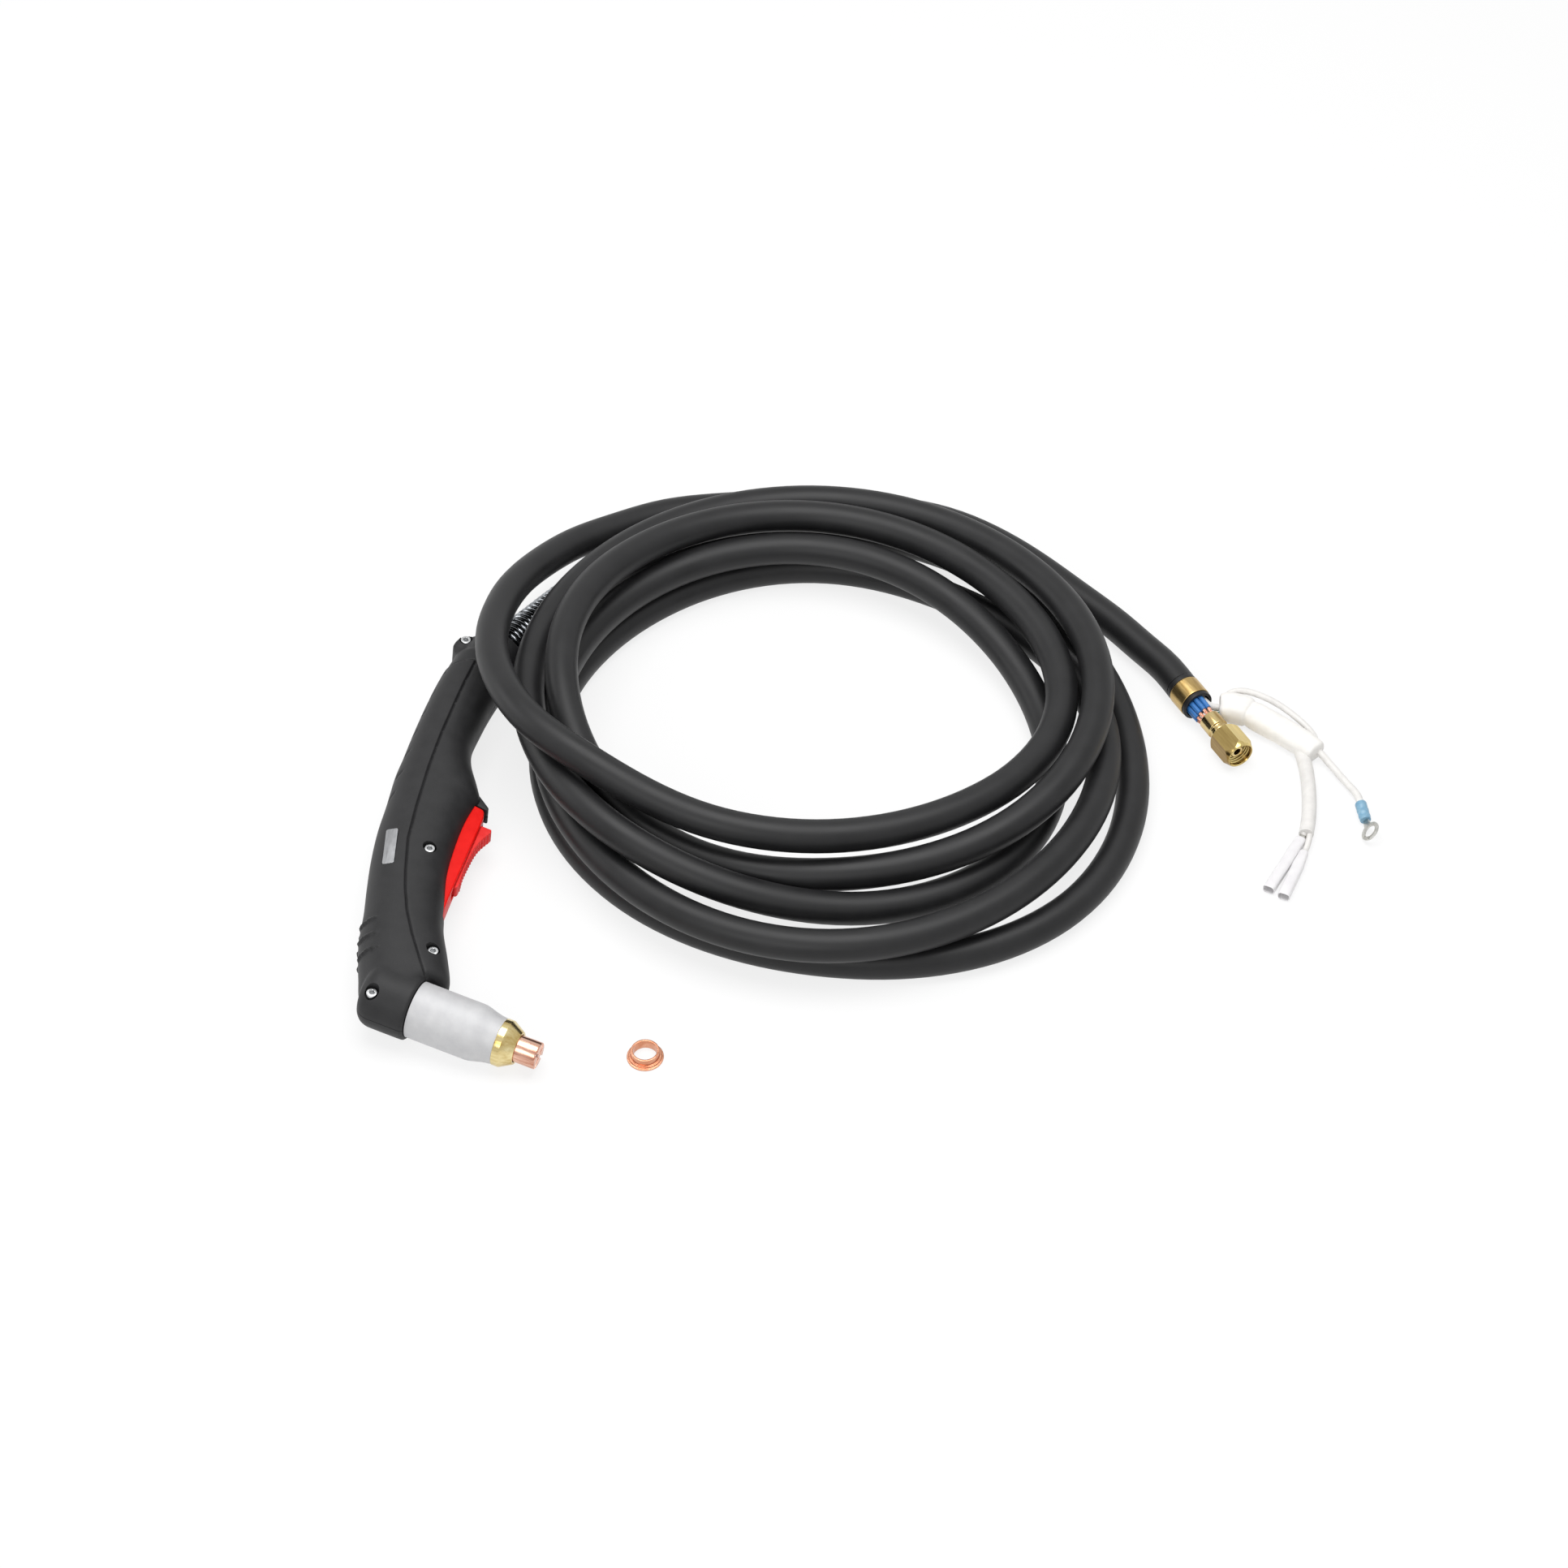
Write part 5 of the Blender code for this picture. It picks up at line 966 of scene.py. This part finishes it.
def handleHalf(skin, way):
    half = skin.copy()
    bmesh.ops.bisect_plane(
        half, geom=half.verts[:] + half.edges[:] + half.faces[:], dist=touching, clear_inner=True,
        plane_co=(0, 0, way * handle["partingGap"] / 2 * mm), plane_no=(0, 0, way))
    bmesh.ops.holes_fill(half, edges=[e for e in half.edges if e.is_boundary], sides=0)
    bmesh.ops.recalc_face_normals(half, faces=half.faces)
    return half


handleBody = handleSkin()
cavity = handleCavity()
for name, way in (("handleShellUpper", 1), ("handleShellLower", -1)):
    shell = carve(handleHalf(handleBody, way), [cavity.copy()] + handleTools())
    levels = sorted((way * handle["partingGap"] / 2, way * handle["lipHalf"]))
    lip = raiseOutline(roundCorners(handle["lip"], handle["lipRound"]), *levels, handle["lipEase"])
    meshPiece(name, mergeShapes((shell, lip)), torchMatrix, blackNylon, sharp=40)
for spare in (handleBody, cavity):
    spare.free()
print("handle shells made")

# socket head screws in their counterbores
screw = {"head": 2.8, "height": 3.1, "shank": 1.4, "end": -9, "raised": 0.3, "corner": 0.5, "socket": 1.5,
         "depth": 2.3, "leadIn": 0.5, "clear": 2}
for number, (x, y, seat) in enumerate(handle["screws"], 1):
    seat += screw["raised"]
    top = seat + screw["height"]
    end, shank, head, socket, leadIn = (screw[key] for key in ("end", "shank", "head", "socket", "leadIn"))
    profile = ((end, 0), (end, shank), (seat, shank), (seat, head), (top, head), (top, 0))
    shape = moved(turnedShape(profile, screw["corner"], 48), rotation(-90, "Y"))
    hexagon = roundPost((0, 0), socket, top - screw["depth"], top + screw["clear"], 6)
    funnel = bmesh.new()
    bmesh.ops.create_cone(
        funnel, cap_ends=True, segments=24, radius1=(socket - leadIn) * mm, radius2=(socket + leadIn) * mm,
        depth=2 * leadIn * mm, matrix=Matrix.Translation((0, 0, top * mm)))
    place = torchMatrix @ Matrix.Translation((x * mm, y * mm, 0))
    meshPiece("handleScrew%d" % number, carve(shape, [hexagon, funnel]), place, platedSteel)

# pivot pin, its ends hidden in the shells
pin = roundPost(handle["pivot"], handle["pinRadius"], -handle["pinHalf"], handle["pinHalf"], 40)
meshPiece("triggerPivotPin", easeRims(pin, handle["pinEase"], 2), torchMatrix, platedSteel)

# bare plate let into the grip
plateHalf = plate["size"][2] / 2
shape = roundedPlate(plate["size"], plate["corner"], -plateHalf, plateHalf, plate["ease"])
meshPiece("handlePlate", shape, torchMatrix @ plateMatrix, plateFoil)
print("screws and plate set")

# trigger lever with the groove that the release slides in
trigger = {
    "outline": ((-13.6, 61.5), (-15.7, 76), (-22, 128.5), (-23.9, 133.4), (-31.6, 134.6), (-28.8, 112),
                (-24.6, 82), (-22.4, 60), (-20.5, 56.4), (-16.4, 56.6)),
    "corner": 1.6, "half": 5.9, "ease": 0.9, "pinHole": 1.8, "holeHalf": 20, "start": 75.6, "groove": 3.5,
    "grooveTop": -4, "gap": 0.3,
}
release = {
    "crown": ((-15.7, 79.5), (-14.9, 80), (-14.6, 81.4), (-14.9, 83.6), (-15.6, 86.5), (-16.4, 90), (-17, 94.5),
              (-17.5, 100.2), (-17.9, 105.8), (-17.9, 110.5), (-17.2, 115.5), (-16.2, 119), (-15.2, 122)),
    "pad": ((-15, 123.1), (-15.6, 124.3)), "span": (3.8, 49.2), "half": 3.7, "ease": 0.2, "points": 48,
    "ribs": 18, "ribRadius": 0.42, "ribInset": 0.35, "ribMargins": (5, 1.6),
    "tongue": 50, "tongueHalf": 3, "tongueInset": 0.4, "tongueTop": (-0.6, 0.2), "room": 5.2,
}
releaseRun = Vector((-0.119, 0.993, 0)).normalized()
inward = Vector((-releaseRun.y, releaseRun.x, 0))


def releaseEdge(distance, inset):
    foot = Vector((*trigger["outline"][1], 0))
    shift = (trigger["start"] - foot.y) / releaseRun.y
    return foot + releaseRun * (shift + distance) + inward * inset


lever = raiseOutline(
    roundCorners(trigger["outline"], trigger["corner"]), -trigger["half"], trigger["half"], trigger["ease"])
ends = (-trigger["gap"], release["tongue"] + release["room"])
groove = [releaseEdge(end, trigger["grooveTop"]) for end in ends]
groove += [releaseEdge(end, trigger["groove"]) for end in reversed(ends)]
grooveHalf = release["tongueHalf"] + trigger["gap"]
pinHole = roundPost(handle["pivot"], trigger["pinHole"], -trigger["holeHalf"], trigger["holeHalf"], 40)
lever = carve(lever, [raiseOutline(groove, -grooveHalf, grooveHalf), pinHole])
meshPiece("triggerLever", lever, torchMatrix, redAbs, "trigger", stands=["trigger"])

# release slide: ribbed crown over a tongue
crownRead, crownLength = smoothRoute(release["crown"])
outline = [crownRead(place) for place in np.linspace(0, crownLength, release["points"])] + list(release["pad"])
outline += [releaseEdge(place, -trigger["gap"])[:2] for place in reversed(release["span"])]
crown = raiseOutline(outline, -release["half"], release["half"], release["ease"], 2)
barHalf = release["half"] - release["ribInset"]
firstRib, lastRib = release["ribMargins"]
bars = [roundPost(crownRead(place), release["ribRadius"], -barHalf, barHalf, 12)
        for place in np.linspace(firstRib, crownLength - lastRib, release["ribs"])]
depth = trigger["groove"] - trigger["gap"]
foot, head = release["span"][0] + release["tongueInset"], release["span"][1] - release["tongueInset"]
top, step = release["tongueTop"]
corners = ((foot, top), (head, top), (release["tongue"], step), (release["tongue"], depth), (foot, depth))
tongue = raiseOutline([releaseEdge(*corner) for corner in corners], -release["tongueHalf"], release["tongueHalf"])
meshPiece("triggerRelease", carve(crown, [tongue] + bars, "UNION"), torchMatrix, paleRedAbs, "release")


# a coil spring that closes up towards one end as its joint moves; held is the still place, as a share of its length
def smallSpring(name, spring, start, direction, room):
    begin = laid(start, torchMatrix)
    way = torchMatrix.to_3x3() @ direction
    curls = spring["curls"]
    points = helix(lambda place: begin + way * place, 0, room * mm / curls, curls, spring["radius"] * mm, 24)
    coil = wireCurve("coil", [points], spring["wire"], 2)
    shape = closeShape(evaluated(coil))
    bpy.data.curves.remove(coil.data)
    piece = meshPiece(name, shape, Matrix(), plainSpring, spring["body"], 60)
    still = begin + way * (spring["held"] * room * mm)
    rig.squash(piece, spring["joint"], axis=way, anchor=still, keep=spring["keep"])


releaseSpring = {"radius": 1.3, "wire": 0.25, "curls": 5, "body": "trigger", "joint": "release_slide", "held": 1.08,
                 "keep": 0.12, "room": 4.1, "lift": 0.1}
seat = releaseEdge(release["tongue"] + trigger["gap"], trigger["groove"] / 2 + releaseSpring["lift"])
seat += releaseRun * releaseSpring["wire"]
smallSpring("releaseReturnSpring", releaseSpring, seat, releaseRun, releaseSpring["room"])
triggerSpring = {"radius": 2.6, "wire": 0.35, "curls": 6, "body": "torch", "joint": "trigger_squeeze", "held": 0,
                 "keep": 0.56, "seat": (4.5, -9, 0), "rim": (4.5, -11.6, 0), "clear": 0.65}
low, high = (Vector((*trigger["outline"][i], 0)) for i in (6, 5))
faceNormal = (high - low).normalized().cross(up)
switchOut = switchMatrix.to_3x3() @ Vector((1, 0, 0))
springSeat, springRim = (laid(triggerSpring[key], switchMatrix) / mm for key in ("seat", "rim"))
springRoom = (low - springRim).dot(faceNormal) / switchOut.dot(faceNormal) - 2 * triggerSpring["clear"]
springSeat += switchOut * triggerSpring["clear"]
smallSpring("triggerReturnSpring", triggerSpring, springSeat, switchOut, springRoom)

# wires and gas tube inside the handle
inner = {
    "wireRadius": 1.1, "wireHeights": (2.4, -2.4), "wireStep": 3, "tubeRadius": 4, "tubeStep": 4,
    "wires": ((-44.6, 129.6), (-48.5, 140), (-54.5, 155), (-59, 180), (-61.2, 205), (-62.4, 228.9)),
    "tube": ((-9.5, 12.6), (-13.2, 22), (-24, 42), (-36, 62), (-47, 84), (-55, 108), (-61, 135),
             (-65, 165), (-67.8, 200), (-68.2, 229.4)),
}
for number, height in enumerate(inner["wireHeights"], 1):
    points = laidRoute([(x, y, height) for x, y in inner["wires"]], torchMatrix, inner["wireStep"])
    curvePiece("switchWire%d" % number, [points], inner["wireRadius"], whiteSilicone, 3)
points = laidRoute([(x, y, 0) for x, y in inner["tube"]], torchMatrix, inner["tubeStep"])
curvePiece("powerGasTube", [points], inner["tubeRadius"], blackRubber)
print("trigger group made")

# shield cup, end ring, tip and seal, turned about the cup's axis
cup = {"foot": (0.3, 12.4), "outside": ((0.3, 14.7), (33.6, 14.7), (41.4, 12.55), (45.94, 12)), "corner": 2.2,
       "inside": ((45.94, 9.5), (38.7, 9.5), (33.1, 12.4))}
wall = roundCorners(cup["outside"], cup["corner"], 6, closed=False)
wall = [Vector(cup["foot"])] + wall + [Vector(point) for point in cup["inside"]]
meshPiece("shieldCup", spinProfile(wall, 128), torchMatrix, anodised, "cup")
ring = ((40, 7.4), (40, 9.2), (46, 9.2), (46, 12.25), (49.5, 12.25), (56, 8.5), (56, 7.4))
meshPiece("cupEndRing", turnedShape(ring, 0.3, 128), torchMatrix, torchBrass, "cup")
tip = {"profile": ((30, 6), (30, 8.9), (39.7, 8.9), (39.7, 7), (67, 7), (67, 0.9), (36.5, 0.9), (36.5, 6)),
       "corner": 0.9, "end": 67, "slot": 0.85, "slotDepth": 1.3, "slotHalf": 12, "slotTurns": (40, 130)}
slots = []
for turn in tip["slotTurns"]:
    channel = roundPost((0, 0), tip["slot"], -tip["slotHalf"], tip["slotHalf"], 24)
    bmesh.ops.scale(channel, vec=(tip["slotDepth"], 1, 1), verts=channel.verts)
    slots.append(moved(channel, rotation(turn, "X") @ Matrix.Translation((tip["end"] * mm, 0, 0))))
shape = carve(turnedShape(tip["profile"], tip["corner"], 96), slots)
meshPiece("cuttingTip", shape, torchMatrix, torchCopper)
seal = {"station": 12.6, "radius": 10.6, "thick": 0.8, "sides": 16}
turns = [tau * i / seal["sides"] for i in range(seal["sides"])]
section = [(seal["station"] + seal["thick"] * cos(a), seal["radius"] + seal["thick"] * sin(a)) for a in turns]
meshPiece("headSealRing", spinProfile(section, 64), torchMatrix, sealRubber)
print("cup and tip made")

# lead end: mouth and brass band, in mm of the end frame
mouth = ((0.05, 0), (0.05, 8.75), (3, 8.75), (3, 8), (15, 8), (15, 8.75), (17.5, 8.65), (17.5, 7),
         (6, 7), (6, 0))
band = ((3.3, 8.3), (3.3, 8.95), (4, 9), (14, 9), (14.7, 8.95), (14.7, 8.3))
leadPieces = [meshPiece("leadMouth", turnedShape(mouth, 0.45, 72), endMatrix, blackRubber),
              meshPiece("leadBand", turnedShape(band, 0.25, 96), endMatrix, bandBrass)]

# conductors: blue wires round the axis, each with a straight strand and six twisted round it
conductor = {
    "bearings": (74, 107.5, 141, 174.5, 208), "radius": 1.38, "step": 0.8,
    "wire": ((6.3, 5.1), (12, 5.2), (19, 5.1), (25, 4.85)),  # along the axis, out from it
    "bare": ((24, 4.85), (25.6, 4.8), (29.4, 4), (33.7, 3.9)),
    "strand": 0.36, "strands": 6, "lay": 0.7, "twist": 14, "points": 14, "from": 1.2, "bareStep": 1,
}
for number, bearing in enumerate(conductor["bearings"], 1):
    side = Vector((0, cos(radians(bearing)), sin(radians(bearing))))
    route, bare = ([Vector((x, 0, 0)) + side * r for x, r in conductor[key]] for key in ("wire", "bare"))
    points = laidRoute(route, endMatrix, conductor["step"])
    leadPieces.append(curvePiece("blueWire%d" % number, [points], conductor["radius"], bluePvc, 4))
    axis, length = smoothRoute([laid(point, endMatrix) for point in bare])
    start = conductor["from"] * mm
    strands = [sampled(axis, start, length, conductor["bareStep"] * mm)]
    for i in range(conductor["strands"]):
        twisted = []
        for place in np.linspace(start, length, conductor["points"]):
            heading = headingAt(axis, place, 0.1).normalized()
            first = (endMatrix.to_3x3() @ side).cross(heading).normalized()
            turn = tau * (i / conductor["strands"] + place / (conductor["twist"] * mm))
            offset = first * cos(turn) + heading.cross(first) * sin(turn)
            twisted.append(Vector(axis(place)) + offset * conductor["lay"] * mm)
        strands.append(twisted)
    leadPieces.append(curvePiece("copperStrand%d" % number, strands, conductor["strand"], strandCopper, 1))

# fitting: barrel, nipple and the swivel nut with its thread
barrel = ((34, 0), (34, 5.3), (29, 5.3), (29, 6), (37.4, 6), (37.9, 5.2), (39.2, 5.2), (39.5, 5.7),
          (41, 5.7), (41, 0))
nipple = ((41.3, 2), (41.3, 4.4), (45.4, 4.4), (45.4, 6.2), (50.6, 6.2), (56.6, 3.4), (56.6, 2))
leadPieces += [meshPiece("fittingBarrel", turnedShape(barrel, 0.25, 72), endMatrix, endBrass),
               meshPiece("fittingNipple", turnedShape(nipple, 0.3, 64), endMatrix, endBrass)]
nut = {
    "start": 42.3, "end": 59.8, "flats": 15.9, "bore": 6.6, "root": 7.15, "pitch": 1.5, "threads": (45, 46.2, 2.5),
    "flank": (0.45, 0.75), "mouth": (0.5, 1, 0.6), "stemHole": ((40, 0), (40, 4.8), (50, 4.8), (50, 0)),
    "paintedLightBase": 0.4, "paintedLightRange": 0.85, "toneWay": (0.75, 0.1, 0.35),
}
start, end, bore, root = (nut[key] for key in ("start", "end", "bore", "root"))
flat, corner = nut["flats"] / 2, nut["flats"] / sqrt(3)
hexagon = moved(spinProfile(((start, 0), (start, corner), (end, corner), (end, 0)), 6), rotation(90, "X"))
roundOff = ((start, 0), (start, flat - 0.4), (start + 1.3, corner + 0.1), (end - 3.6, corner + 0.1),
            (end - 2.4, flat + 0.55), (end - 0.9, flat - 0.05), (end - 0.25, flat - 0.35), (end, flat - 0.7),
            (end, 0))
hexagon = carve(hexagon, [spinProfile(roundOff, 96)], "INTERSECT")
inside, place, margin = nut["threads"]
threads = [(inside, 0), (inside, bore)]
while place < end - margin:
    threads += [(place, bore)] + [(place + on, root) for on in nut["flank"]]
    place += nut["pitch"]
inset, out, flare = nut["mouth"]
threads += [(place, bore), (end - inset, bore), (end + out, root + flare), (end + out, 0)]
shape = carve(hexagon, [spinProfile(threads, 72), spinProfile(nut["stemHole"], 48)])
swivelNut = meshPiece("swivelNut", shape, endMatrix, nutBrass, "nut", 12)
# painted reflection: each face of the nut gets a tone from how far it faces one fixed direction
paintedFacets = swivelNut.data.attributes.new("facet", "FLOAT", "FACE")
for face, value in zip(swivelNut.data.polygons, paintedFacets.data):
    tone = nut["paintedLightBase"] + nut["paintedLightRange"] * face.normal.dot(Vector(nut["toneWay"]))
    value.value = min(1, max(0, tone))
print("fitting made")


# rings of a sleeve along a route: stations of share along, width factor, height factor
def sleeveRings(read, length, profile, halfWidth, halfHeight):
    rings = []
    for share, wide, high in profile:
        place = share * length
        heading = headingAt(read, place, 0.3)
        across = Vector((heading.y, -heading.x, 0)).normalized()
        rings.append((Vector(read(place)), across * halfWidth * wide * mm, up * halfHeight * high * mm))
    return rings


# foam sleeve: a soft flattened tube with its left end turned back in a cuff
foam = {
    "route": ((214.5, 20.2, 7.6), (223, 18.8, 7.6), (234, 12.8, 6.9), (246, 3.2, 6.4), (256.4, -6, 6.3),
              (263, -12.9, 6.3)),
    "halfWidth": 7.1, "halfHeight": 5.9, "sides": 56, "squareness": 2.5, "softening": 0.4, "crease": 0.16,
    "offFloor": 0.25,
    "profile": (
        (0.05, 0.5, 0.5), (0, 0.58, 0.58), (-0.012, 0.8, 0.8), (-0.004, 1.02, 1.02), (0.02, 1.13, 1.13),
        (0.07, 1.19, 1.19), (0.15, 1.22, 1.21), (0.22, 1.2, 1.19), (0.252, 1.13, 1.11), (0.266, 1, 0.98),
        (0.282, 0.99, 0.97), (0.32, 1.06, 1.04), (0.42, 1.09, 1.06), (0.56, 1.07, 1.04), (0.72, 1.05, 1.02),
        (0.85, 1.03, 1), (0.94, 1, 0.98), (0.98, 0.95, 0.93), (1, 0.84, 0.82), (1.004, 0.5, 0.5)),
}
foamRead, foamLength = smoothRoute([laid(point) for point in foam["route"]])
rings = sleeveRings(foamRead, foamLength, foam["profile"], foam["halfWidth"], foam["halfHeight"])
shape = loftRings(rings, foam["sides"], foam["squareness"])
bmesh.ops.subdivide_edges(shape, edges=shape.edges, cuts=1, use_grid_fill=True)
bmesh.ops.smooth_vert(
    shape, verts=shape.verts, factor=foam["softening"], use_axis_x=True, use_axis_y=True, use_axis_z=True)
shape.normal_update()
for vert in shape.verts:
    x, y, z = vert.co / mm
    crease = sin(0.55 * x + 0.9 * y + 0.4 * z) * sin(0.21 * x - 0.35 * y + 0.8)
    vert.co += vert.normal * (foam["crease"] * crease * mm)
    vert.co.z = max(vert.co.z, foam["offFloor"] * mm)
foamSleeve = meshPiece("controlFoamSleeve", shape, Matrix(), whiteFoam, sharp=60)

# crimp sleeve and ring terminal on the single wire
crimp = {
    "bearing": -83, "gap": 0.3, "length": 12, "half": 3.1,
    "profile": (
        (0.12, 0.72, 0.72), (0, 0.78, 0.78), (0, 0.97, 0.97), (0.04, 1.02, 1.02), (0.2, 1, 1), (0.3, 0.96, 0.92),
        (0.37, 1.04, 0.74), (0.47, 1.04, 0.72), (0.54, 0.97, 0.9), (0.64, 0.96, 0.92), (0.71, 1.03, 0.74),
        (0.82, 1.03, 0.72), (0.9, 0.95, 0.88), (0.97, 0.95, 0.9), (1, 0.9, 0.86), (1, 0.6, 0.6)),
}
crimpTurn = Matrix.Rotation(radians(crimp["bearing"]), 3, "Z")
crimpHeading = crimpTurn @ Vector((1, 0, 0))
crimpStart = laid(branch["ring"]["route"][-1]) + crimpHeading * crimp["gap"] * mm
rings = sleeveRings(lambda place: crimpStart + crimpHeading * place, crimp["length"] * mm, crimp["profile"],
                    crimp["half"], crimp["half"])
crimpSleeve = meshPiece("ringCrimpSleeve", loftRings(rings, 40), Matrix(), crimpNylon, sharp=50)
terminal = {"thick": 1, "radius": 5.6, "hole": 3.5, "holeHalf": 5, "reach": 10, "root": 12.1, "rootHalf": 1.7,
            "tongue": 2, "tongueEnd": 3, "flare": 1.12, "rise": 12, "roll": 46, "ease": 0.2, "sides": 56}
radius, reach, tongue = terminal["radius"], terminal["reach"], terminal["tongue"]
spread = asin(tongue * terminal["flare"] / radius)
outline = [(0, -terminal["rootHalf"]), (terminal["tongueEnd"], -tongue)]
outline += [(reach - radius * cos(a), -radius * sin(a))
            for a in np.linspace(spread, tau - spread, terminal["sides"])]
outline += [(terminal["tongueEnd"], tongue), (0, terminal["rootHalf"])]
shape = raiseOutline(outline, -terminal["thick"] / 2, terminal["thick"] / 2, terminal["ease"], 2)
hole = roundPost((reach, 0), terminal["hole"], -terminal["holeHalf"], terminal["holeHalf"], terminal["sides"])
place = Matrix.Translation(crimpStart + crimpHeading * terminal["root"] * mm) @ crimpTurn.to_4x4() \
    @ rotation(-terminal["rise"], "Y") @ rotation(terminal["roll"], "X")
ringTerminal = meshPiece("ringTerminal", carve(shape, [hole]), place, tinnedCopper)

# push-on receptacles in milky vinyl covers, and the wires that reach them
connector = {
    "half": (3.2, 2.6), "level": 2.9, "sides": 48, "squareness": 3.4, "hollow": 25.7, "setBack": 4,
    "blade": (2.45, 1.6, 0.4), "roll": (0.5, 0.9), "bend": (1.3, 0.9),  # half width, half height, thickness
    "wire": 1.6, "wireBack": 1.5, "wireStep": 0.8,
    "each": (
        {"start": (249.9, -73), "end": (229.9, -108.7), "slim": 0.88, "aside": -1.2, "crimped": (-2.6, 1.95),
         "face": 2.7, "straight": 0, "bend": 0.4},
        {"start": (250.7, -82.5), "end": (237.2, -113.6), "slim": 0.7, "aside": 1.9, "crimped": (1.4, 1.6),
         "face": 0.3, "straight": 3, "bend": 2.5}),
}


# outer wall from the wire end to the mouth and back along the inside: place, width factor, height factor
def coverRings(length, slim):
    halfW, halfH = connector["half"]
    profile = (
        (0, slim - 0.2, 0.74), (0, slim - 0.08, 0.84), (0.4, slim, 0.9), (2, 0.8 * slim + 0.2, 0.92),
        (6, 0.4 * slim + 0.6, 0.96), (10, 1, 1), (length - 6, 1, 1), (length - 0.3, 1, 1),
        (length, 0.97, 0.96), (length, 0.89, 0.86), (length - 0.4, 0.86, 0.82), (length - 8, 0.84, 0.8),
        (10.5, 0.84, 0.8), (7, 0.62, 0.7), (4.5, 0.5, 0.64), (3.5, 0.42, 0.5))
    return [(Vector((x * mm, 0, 0)), Vector((0, halfW * w * mm, 0)), up * halfH * h * mm) for x, w, h in profile]


# the blade box is one strip with both edges rolled in
def bladeStrip(start, end):
    w, h, t = connector["blade"]
    edge, curl = connector["roll"]
    outer = ((-edge, h - curl), (-edge, h), (-w, h), (-w, -h), (w, -h), (w, h), (edge, h), (edge, h - curl))
    inner = ((curl, h - curl), (curl, h - t), (w - t, h - t), (w - t, -h + t), (-w + t, -h + t), (-w + t, h - t),
             (-curl, h - t), (-curl, h - curl))
    outerBend, innerBend = connector["bend"]
    outline = roundCorners(outer, outerBend, 5, False) + roundCorners(inner, innerBend, 5, False)
    return moved(raiseOutline(outline, start, end), rotation(90, "Z") @ rotation(90, "X"))


pairEnd = Vector(branch["pair"]["route"][-1])
leave = (pairEnd - Vector(branch["pair"]["route"][-2])).normalized()
pairPieces = []
for number, one in enumerate(connector["each"], 1):
    start, end = (Vector((*one[key], connector["level"])) for key in ("start", "end"))
    length = (end - start).length
    heading = (end - start).normalized()
    place = layoutMatrix @ Matrix.Translation(start * mm) @ Matrix.Rotation(atan2(heading.y, heading.x), 4, "Z")
    shape = loftRings(coverRings(length, one["slim"]), connector["sides"], connector["squareness"])
    cover = meshPiece("pushOnCover%d" % number, shape, place, milkyVinyl, sharp=50)
    bladeStart = length - connector["hollow"]
    grip = ((one["crimped"][0], 0), one["crimped"], (7, 1.5), (bladeStart - 0.3, 1.4), (bladeStart + 2, 1.15),
            (bladeStart + 2, 0))
    shape = mergeShapes((bladeStrip(bladeStart, length - connector["setBack"]), turnedShape(grip, 0.3, 32, 3)))
    receptacle = meshPiece("pushOnReceptacle%d" % number, shape, place, tinnedCopper)
    root = pairEnd + Vector((-leave.y, leave.x, 0)) * one["aside"]
    face = start - heading * one["face"]
    route = (root - leave * connector["wireBack"], root + leave * one["straight"],
             face - heading * one["bend"], face)
    points = laidRoute(route, layoutMatrix, connector["wireStep"])
    wire = curvePiece("connectorWire%d" % number, [points], connector["wire"], whiteSilicone, 4)
    pairPieces += [cover, receptacle, wire]

# loose copper ring, lying on its flange
ring = ((0.1, 6), (0.1, 9.25), (1.1, 9.25), (1.1, 8.3), (2, 8.3), (2, 7.2), (5.5, 7.2), (5.5, 6))
shape = moved(turnedShape(ring, 0.3, 96), rotation(-90, "Y"))
meshPiece("looseCopperRing", shape, layoutMatrix @ Matrix.Translation((-0.089, -0.219, 0)), looseCopper)
print("branch and ring made")

# plain CAD nodes that stay, mostly inside the handle and the cup
for node, material in (("torch_head_body", torchBrass), ("head_insulator", phenolic), ("gas_distributor", steatite),
                       ("electrode", torchCopper), ("switch_body", blackNylon), ("switch_plunger", redAbs)):
    frame["nodes"][node].data.materials.clear()
    frame["nodes"][node].data.materials.append(material)

# free cords
carried = leadPieces + [swivelNut, branch["stub"]["piece"], branch["green"]["piece"], foamSleeve]
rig.cord(leadPiece, exit=leadPoints[0], length=measure(leadPoints), diameter=2 * lead["radius"] * mm,
        far_end="fitting", stiffness="stiff", lay="coiled", with_pieces=carried)
for key, farEnd, onIt in (("loop", "object", []), ("pair", "connector", pairPieces),
                          ("ring", "connector", [crimpSleeve, ringTerminal])):
    wire = branch[key]
    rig.cord(wire["piece"], exit=wire["points"][0], length=measure(wire["points"]), diameter=2 * wire["radius"] * mm,
            far_end=farEnd, stiffness="limp", lay="loose", with_pieces=onIt)

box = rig.bounds()
with open("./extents.json", "w") as report:
    json.dump({"cad": [list(map(float, corner)) for corner in cadBox],
               "visual": [list(map(float, corner)) for corner in box]}, report)
